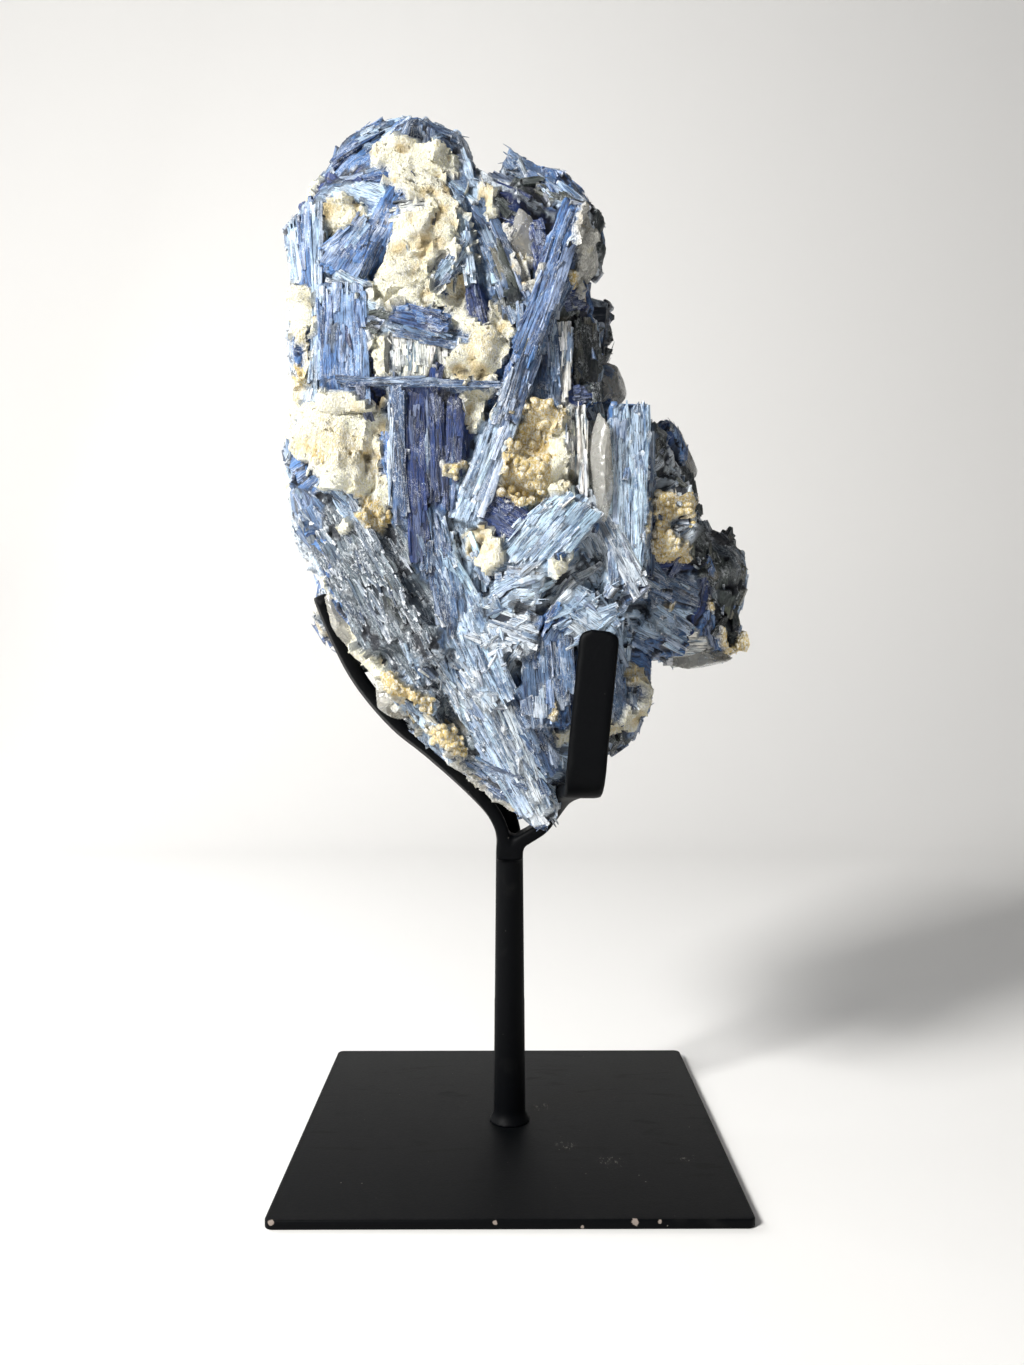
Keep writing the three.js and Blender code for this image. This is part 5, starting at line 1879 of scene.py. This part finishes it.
class Scatter:
    """A Geometry Nodes tree that strews small copies of one form over a skin."""

    def __init__(self, name: str) -> None:
        """Starts a tree with its named inputs."""
        self.tree = bpy.data.node_groups.new(name, "GeometryNodeTree")
        self.keys: dict[str, str] = {}
        for label, kind in (
            ("Geometry", "NodeSocketGeometry"),
            ("Density", "NodeSocketFloat"),
            ("Seed", "NodeSocketInt"),
            ("Smallest", "NodeSocketVector"),
            ("Largest", "NodeSocketVector"),
            ("Stray", "NodeSocketFloat"),
            ("Finish", "NodeSocketMaterial"),
        ):
            socket = self.tree.interface.new_socket(label, in_out="INPUT", socket_type=kind)
            self.keys[label] = socket.identifier
        self.tree.interface.new_socket("Geometry", in_out="OUTPUT", socket_type="NodeSocketGeometry")
        self.entry = self.tree.nodes.new("NodeGroupInput")

    def add(
        self,
        kind: str,
        settings: dict[str, object],
        sockets: dict[str | int, object],
        out: str | int = 0,
    ) -> bpy.types.NodeSocket:
        """Makes one node, as add_node does, and gives the output that is wanted."""
        return add_node(self.tree, kind, settings, sockets).outputs[out]

    def _stored(self, name: str, kind: str) -> bpy.types.NodeSocket:
        """A value stored at the skin's corners."""
        return self.add("GeometryNodeInputNamedAttribute", {"data_type": kind}, {"Name": name})

    def build(self, form: bpy.types.NodeSocket, weight: str, grain: str | None) -> "Scatter":
        """Finishes the tree.

        Args:
            form: The form that is copied, with its length along Z.
            weight: The stored share of the density at each corner.
            grain: The stored direction that copies follow, or none for any direction.

        Returns:
            The tree itself.
        """
        asked = self.entry.outputs
        sockets = {0: self._stored(weight, "FLOAT"), 1: asked["Density"]}
        share = self.add("ShaderNodeMath", {"operation": "MULTIPLY"}, sockets)
        sockets = {"Mesh": asked["Geometry"], "Density": share, "Seed": asked["Seed"]}
        spread = add_node(self.tree, "GeometryNodeDistributePointsOnFaces", {}, sockets).outputs
        full = {"data_type": "FLOAT_VECTOR"}
        turn = self.add("FunctionNodeRandomValue", full, {0: (0, 0, 0), 1: (6.283, 6.283, 6.283), "Seed": 3})
        if grain:
            stray = self.add("FunctionNodeRandomValue", full, {0: (-1, -1, -1), 1: (1, 1, 1), "Seed": 4})
            sockets = {0: stray, "Scale": asked["Stray"]}
            stray = self.add("ShaderNodeVectorMath", {"operation": "SCALE"}, sockets)
            sockets = {0: self._stored(grain, "FLOAT_VECTOR"), 1: stray}
            way = self.add("ShaderNodeVectorMath", {}, sockets)
            sockets = {"Vector": spread["Normal"]}
            base = self.add("FunctionNodeAlignRotationToVector", {"axis": "X"}, sockets)
            sockets = {"Rotation": base, "Vector": way}
            turn = self.add("FunctionNodeAlignRotationToVector", {"axis": "Z"}, sockets)
        sockets = {0: asked["Smallest"], 1: asked["Largest"], "Seed": 7}
        size = self.add("FunctionNodeRandomValue", full, sockets)
        sockets = {"Points": spread["Points"], "Instance": form, "Rotation": turn, "Scale": size}
        copies = self.add("GeometryNodeInstanceOnPoints", {}, sockets)
        real = self.add("GeometryNodeRealizeInstances", {}, {"Geometry": copies})
        sockets = {"Geometry": real, "Material": asked["Finish"]}
        done = self.add("GeometryNodeSetMaterial", {}, sockets)
        add_node(self.tree, "NodeGroupOutput", {}, {0: done})
        return self

    def over(self, skin: bpy.types.Mesh, **values: object) -> bpy.types.Mesh:
        """Runs the tree.

        Args:
            skin: The mesh that is strewn.
            values: The tree's inputs, by name.

        Returns:
            A plain mesh in metres, clear of the arms.
        """
        carrier = bpy.data.objects.new("carrier", skin)
        bpy.context.scene.collection.objects.link(carrier)
        strew = carrier.modifiers.new("strew", "NODES")
        strew.node_group = self.tree
        for label, value in values.items():
            strew[self.keys[label]] = value
        graph = bpy.context.evaluated_depsgraph_get()
        mesh = bpy.data.meshes.new_from_object(carrier.evaluated_get(graph))
        bpy.data.objects.remove(carrier)
        points, _ = corners(mesh)
        move_corners(mesh, clear_of_arms(points))
        return mesh


def strewn(name: str, mesh: bpy.types.Mesh, sharp: float | None = None) -> None:
    """Turns a strewn mesh into a piece of the stone, shaded flat or by sharp edges."""
    if sharp is None:
        mesh.shade_flat()
    else:
        shade_edges(mesh, sharp)
    stone_piece(place(name, mesh))


@dataclass
class Specimen:
    """The whole stone: rock, main blades, small blades, quartz, crumbs, nodules and splinters."""

    rock: Rock = field(default_factory=Rock)

    def build(self) -> None:
        """Builds and dresses every piece of the stone."""
        kyanite = KyaniteFinish().material()
        feldspar = RockFinish().material()
        stone_piece(place("matrix_rock", self.rock.mesh, feldspar, kyanite))
        rng = np.random.default_rng(SEED + 1)
        pairs = [bundle(blade, rng) for blade in BLADES]
        faces = [pair[0] for pair, blade in zip(pairs, BLADES) if not blade.rough]
        splits = [self.rock.hugging(pair[1]) for pair in pairs]
        self._sheaf("main_blades", Laths.joined(faces), kyanite, rng, 1.3, 16, 4)
        self._sheaf("split_blades", Laths.joined(splits), kyanite, rng, 1.0, 8, 2)
        high = [seat for seat in self.rock.front if seat.at[2] > 240]
        low = [seat for seat in self.rock.front if seat.at[2] <= 240]
        self._sheaf("small_blades_high", self.rock.small_laths(high, 1.0), kyanite, rng, 1.1, 5, 1)
        self._sheaf("small_blades_low", self.rock.small_laths(low, 1.0), kyanite, rng, 1.1, 5, 1)
        self._sheaf("small_blades_back", self.rock.small_laths(self.rock.back, 0.8), kyanite, rng, 1.3, 5, 1)
        self._strew(kyanite, feldspar)
        stone_piece(place("quartz", Quartz().mesh(), QuartzFinish().material()))

    def _strew(self, kyanite: bpy.types.Material, feldspar: bpy.types.Material) -> None:
        """Strews splinters along the grain, crumbs on the feldspar and nodules in its hollow."""
        needles = Scatter("splinters")
        sizes = {"Vertices": 4, "Radius Top": 0.25, "Radius Bottom": 1.0, "Depth": 2.0}
        cone = needles.add("GeometryNodeMeshCone", {}, sizes)
        local = needles.add("GeometryNodeInputPosition", {}, {})
        way = needles.add("ShaderNodeVectorMath", {"operation": "MULTIPLY"}, {0: local, 1: (0.4, 0.4, 3.0)})
        for kind, label, value in (("FLOAT_VECTOR", "grain", way), ("FLOAT", "frost", 0.75)):
            store = {"data_type": kind, "domain": "POINT"}
            sockets = {"Geometry": cone, "Name": label, "Value": value}
            cone = needles.add("GeometryNodeStoreNamedAttribute", store, sockets)
        mesh = needles.build(cone, "fibrous", "grain_way").over(
            self.rock.mesh,
            Density=20000.0,
            Seed=SEED % 1000,
            Smallest=(0.15 * MM, 0.2 * MM, 0.8 * MM),
            Largest=(0.4 * MM, 0.8 * MM, 2.6 * MM),
            Stray=0.22,
            Finish=kyanite,
        )
        strewn("splinters", mesh)
        chips = Scatter("crumbs")
        form = chips.add("GeometryNodeMeshIcoSphere", {}, {"Radius": 1.0, "Subdivisions": 1})
        mesh = chips.build(form, "crumbly", None).over(
            self.rock.mesh,
            Density=110000.0,
            Seed=SEED % 777,
            Smallest=(0.15 * MM, 0.15 * MM, 0.25 * MM),
            Largest=(0.5 * MM, 0.42 * MM, 1.25 * MM),
            Finish=feldspar,
        )
        strewn("crumbs", mesh)
        beads = Scatter("nodules")
        form = beads.add("GeometryNodeMeshIcoSphere", {}, {"Radius": 1.0, "Subdivisions": 2})
        mesh = beads.build(form, "nodular", None).over(
            self.rock.mesh,
            Density=60000.0,
            Seed=SEED % 555,
            Smallest=(0.9 * MM, 0.8 * MM, 0.9 * MM),
            Largest=(1.9 * MM, 1.6 * MM, 1.9 * MM),
            Finish=feldspar,
        )
        strewn("nodules", mesh, 60)

    @staticmethod
    def _sheaf(
        name: str,
        laths: Laths,
        material: bpy.types.Material,
        rng: np.random.Generator,
        strand: float,
        rows: int,
        breaks: int,
    ) -> None:
        """Makes one piece of many blades.

        Args:
            name: The piece's name.
            laths: Its blades.
            material: Its finish.
            rng: The source of random numbers.
            strand: The width of one strand.
            rows: Rows of corners along each blade.
            breaks: Steps across each blade.
        """
        sheaf = Sheaf()
        strands = np.clip(np.round(laths.width / strand), 2, 16).astype(int)
        for number in np.unique(strands):
            sheaf.add(laths.picked(strands == number), int(number), rows, breaks, rng)
        stone_piece(place(name, sheaf.mesh(), material))


# The stand


@dataclass
class Stand:
    """The painted steel stand: a square plate, a post, and three arms welded to it."""

    side: float = 150.0
    thick: float = 3.0
    corner: float = 2.5
    bevel: float = 0.6
    foot_radius: float = 6.0
    head_radius: float = 5.1
    head: float = 104.5
    welds: tuple[Lump, ...] = (
        Lump((0, -3.6, 104.2), (4.6, 3.4, 2.6)),
        Lump((0, 5.2, 104.4), (4.4, 5.4, 2.8)),
        Lump((1.5, -2, 107.5), (3.2, 4, 2.6)),
    )

    def build(self) -> None:
        """Builds and dresses the plate and the bracket."""
        paint = SteelPaint().material()
        plate = place("stand_plate", self._plate(), paint)
        bracket = place("stand_bracket", self._bracket(), paint)
        finish_piece(plate, "black_paint", "base_plate")
        finish_piece(bracket, "black_paint", "post", "left_arm", "front_arm", "back_arm")

    def _plate(self) -> bpy.types.Mesh:
        """A square plate with round corners and softened edges."""
        half = self.side / 2
        profile = []
        for step in range(5):
            a = math.pi / 2 * step / 4
            profile.append((self.bevel * (1 - math.sin(a)), self.bevel * (1 - math.cos(a))))
        levels = profile + [(inset, self.thick - z) for inset, z in reversed(profile)]
        rings = []
        for inset, z in levels:
            for cx, cy, start in ((1, -1, 270), (1, 1, 0), (-1, 1, 90), (-1, -1, 180)):
                for step in range(9):
                    a = math.radians(start + step * 90 / 8)
                    middle = half - self.corner
                    reach = self.corner - inset
                    rings.append((cx * middle + reach * math.cos(a), cy * middle + reach * math.sin(a), z))
        mesh = new_mesh("plate", np.array(rings), ring_faces(len(levels), 36))
        shade_edges(mesh, 35)
        return mesh

    def _bracket(self) -> bpy.types.Mesh:
        """The post and the arms, melted into one skin where they are welded."""
        shells = Shells()
        turns = np.arange(64) / 64 * 2 * np.pi
        rings = []
        for z in np.linspace(self.thick - 0.4, self.head, 30):
            share = (z - self.thick) / (self.head - self.thick)
            radius = self.foot_radius + (self.head_radius - self.foot_radius) * share
            radius += 1.1 * math.exp(-(z - self.thick) / 0.7)
            rings.append(np.stack([np.cos(turns) * radius, np.sin(turns) * radius, np.full(64, z)], axis=1))
        shells.add(np.concatenate(rings), ring_faces(len(rings), 64))
        for arm in ARMS:
            shells.add(*arm.shell(3.0))
        form, faces = ball(3)
        for bead in self.welds:
            shells.add(bead.placed(form), faces)
        mesh = shells.melted(0.8)
        self._soften(mesh, 5)
        mesh.shade_smooth()
        return mesh

    @staticmethod
    def _soften(mesh: bpy.types.Mesh, times: int) -> None:
        """Moves each corner towards the mean of its neighbours, several times."""
        points, _ = corners(mesh)
        edges = np.empty(len(mesh.edges) * 2, np.int32)
        mesh.edges.foreach_get("vertices", edges)
        a, b = edges.reshape(-1, 2).T
        count = np.bincount(np.concatenate([a, b]), minlength=len(points))[:, None]
        low = points[:, 2] < 3.6
        for _ in range(times):
            total = np.zeros_like(points)
            for axis in range(3):
                total[:, axis] = np.bincount(a, points[b, axis], len(points))
                total[:, axis] += np.bincount(b, points[a, axis], len(points))
            moved = points + (total / count - points) * 0.5
            points = np.where(low[:, None], points, moved)
        points[:, 2] = np.maximum(points[:, 2], 2.7)
        move_corners(mesh, points)


# The studio


@dataclass
class Studio:
    """A pale floor that curves up into a backdrop, soft lights and the camera."""

    back: float = 620.0
    bend: float = 350.0

    def build(self) -> None:
        """Makes the backdrop, the lights and the camera."""
        self._backdrop()
        self._light("key", (-0.95, -0.85, 0.95), 0.36, 39.0, (1.0, 0.99, 0.97))
        self._light("fill", (1.0, -0.8, 0.3), 0.9, 1.3, (1.0, 0.95, 0.9))
        self._light("rim", (-0.8, 0.3, 0.5), 0.5, 4.0, (0.97, 0.985, 1.0))
        world = bpy.data.worlds.new("studio")
        world.use_nodes = True
        background = world.node_tree.nodes["Background"]
        background.inputs["Color"].default_value = (0.93, 0.95, 1.0, 1)
        background.inputs["Strength"].default_value = 0.115
        bpy.context.scene.world = world
        bpy.context.scene.view_settings.view_transform = "Standard"
        self._camera()

    def _backdrop(self) -> None:
        """One sheet: floor, bend and wall."""
        profile = [(-1200.0, 0.0), (self.back, 0.0)]
        for step in range(1, 25):
            a = math.pi / 2 * step / 24
            profile.append((self.back + self.bend * math.sin(a), self.bend * (1 - math.cos(a))))
        profile.append((self.back + self.bend, 2200.0))
        points = np.array([(x, y, z) for y, z in profile for x in (-2200.0, 2200.0)])
        faces = [(2 * i, 2 * i + 1, 2 * i + 3, 2 * i + 2) for i in range(len(profile) - 1)]
        mesh = new_mesh("backdrop", points, faces)
        mesh.shade_smooth()
        place("backdrop", mesh, StudioFinish().material())

    @staticmethod
    def _light(name: str, at: tuple[float, float, float], size: float, power: float, colour: tuple) -> None:
        """One soft square light that looks at the stone."""
        lamp = bpy.data.lights.new(name, "AREA")
        lamp.size, lamp.energy, lamp.color = size, power, colour
        thing = bpy.data.objects.new(name, lamp)
        thing.location = at
        thing.rotation_euler = (Vector((0, 0, 0.22)) - Vector(at)).to_track_quat("-Z", "Y").to_euler()
        bpy.context.scene.collection.objects.link(thing)

    @staticmethod
    def _camera() -> None:
        """The camera, where the photograph was taken from."""
        lens = bpy.data.cameras.new("camera")
        lens.sensor_width = 36.0
        lens.lens = 36.0 * VIEW.focal / VIEW.high
        lens.clip_start, lens.clip_end = 0.01, 20.0
        camera = bpy.data.objects.new("camera", lens)
        camera.location = [v * MM for v in VIEW.eye]
        camera.rotation_euler = (math.radians(90 + VIEW.pitch), 0.0, math.radians(VIEW.yaw))
        bpy.context.scene.collection.objects.link(camera)
        bpy.context.scene.camera = camera


def main() -> None:
    """Builds the studio, the stand and the stone, and logs each piece's face count."""
    logging.basicConfig(level=logging.INFO, format="%(message)s")
    Studio().build()
    Stand().build()
    Specimen().build()


if __name__ == "__main__":
    main()
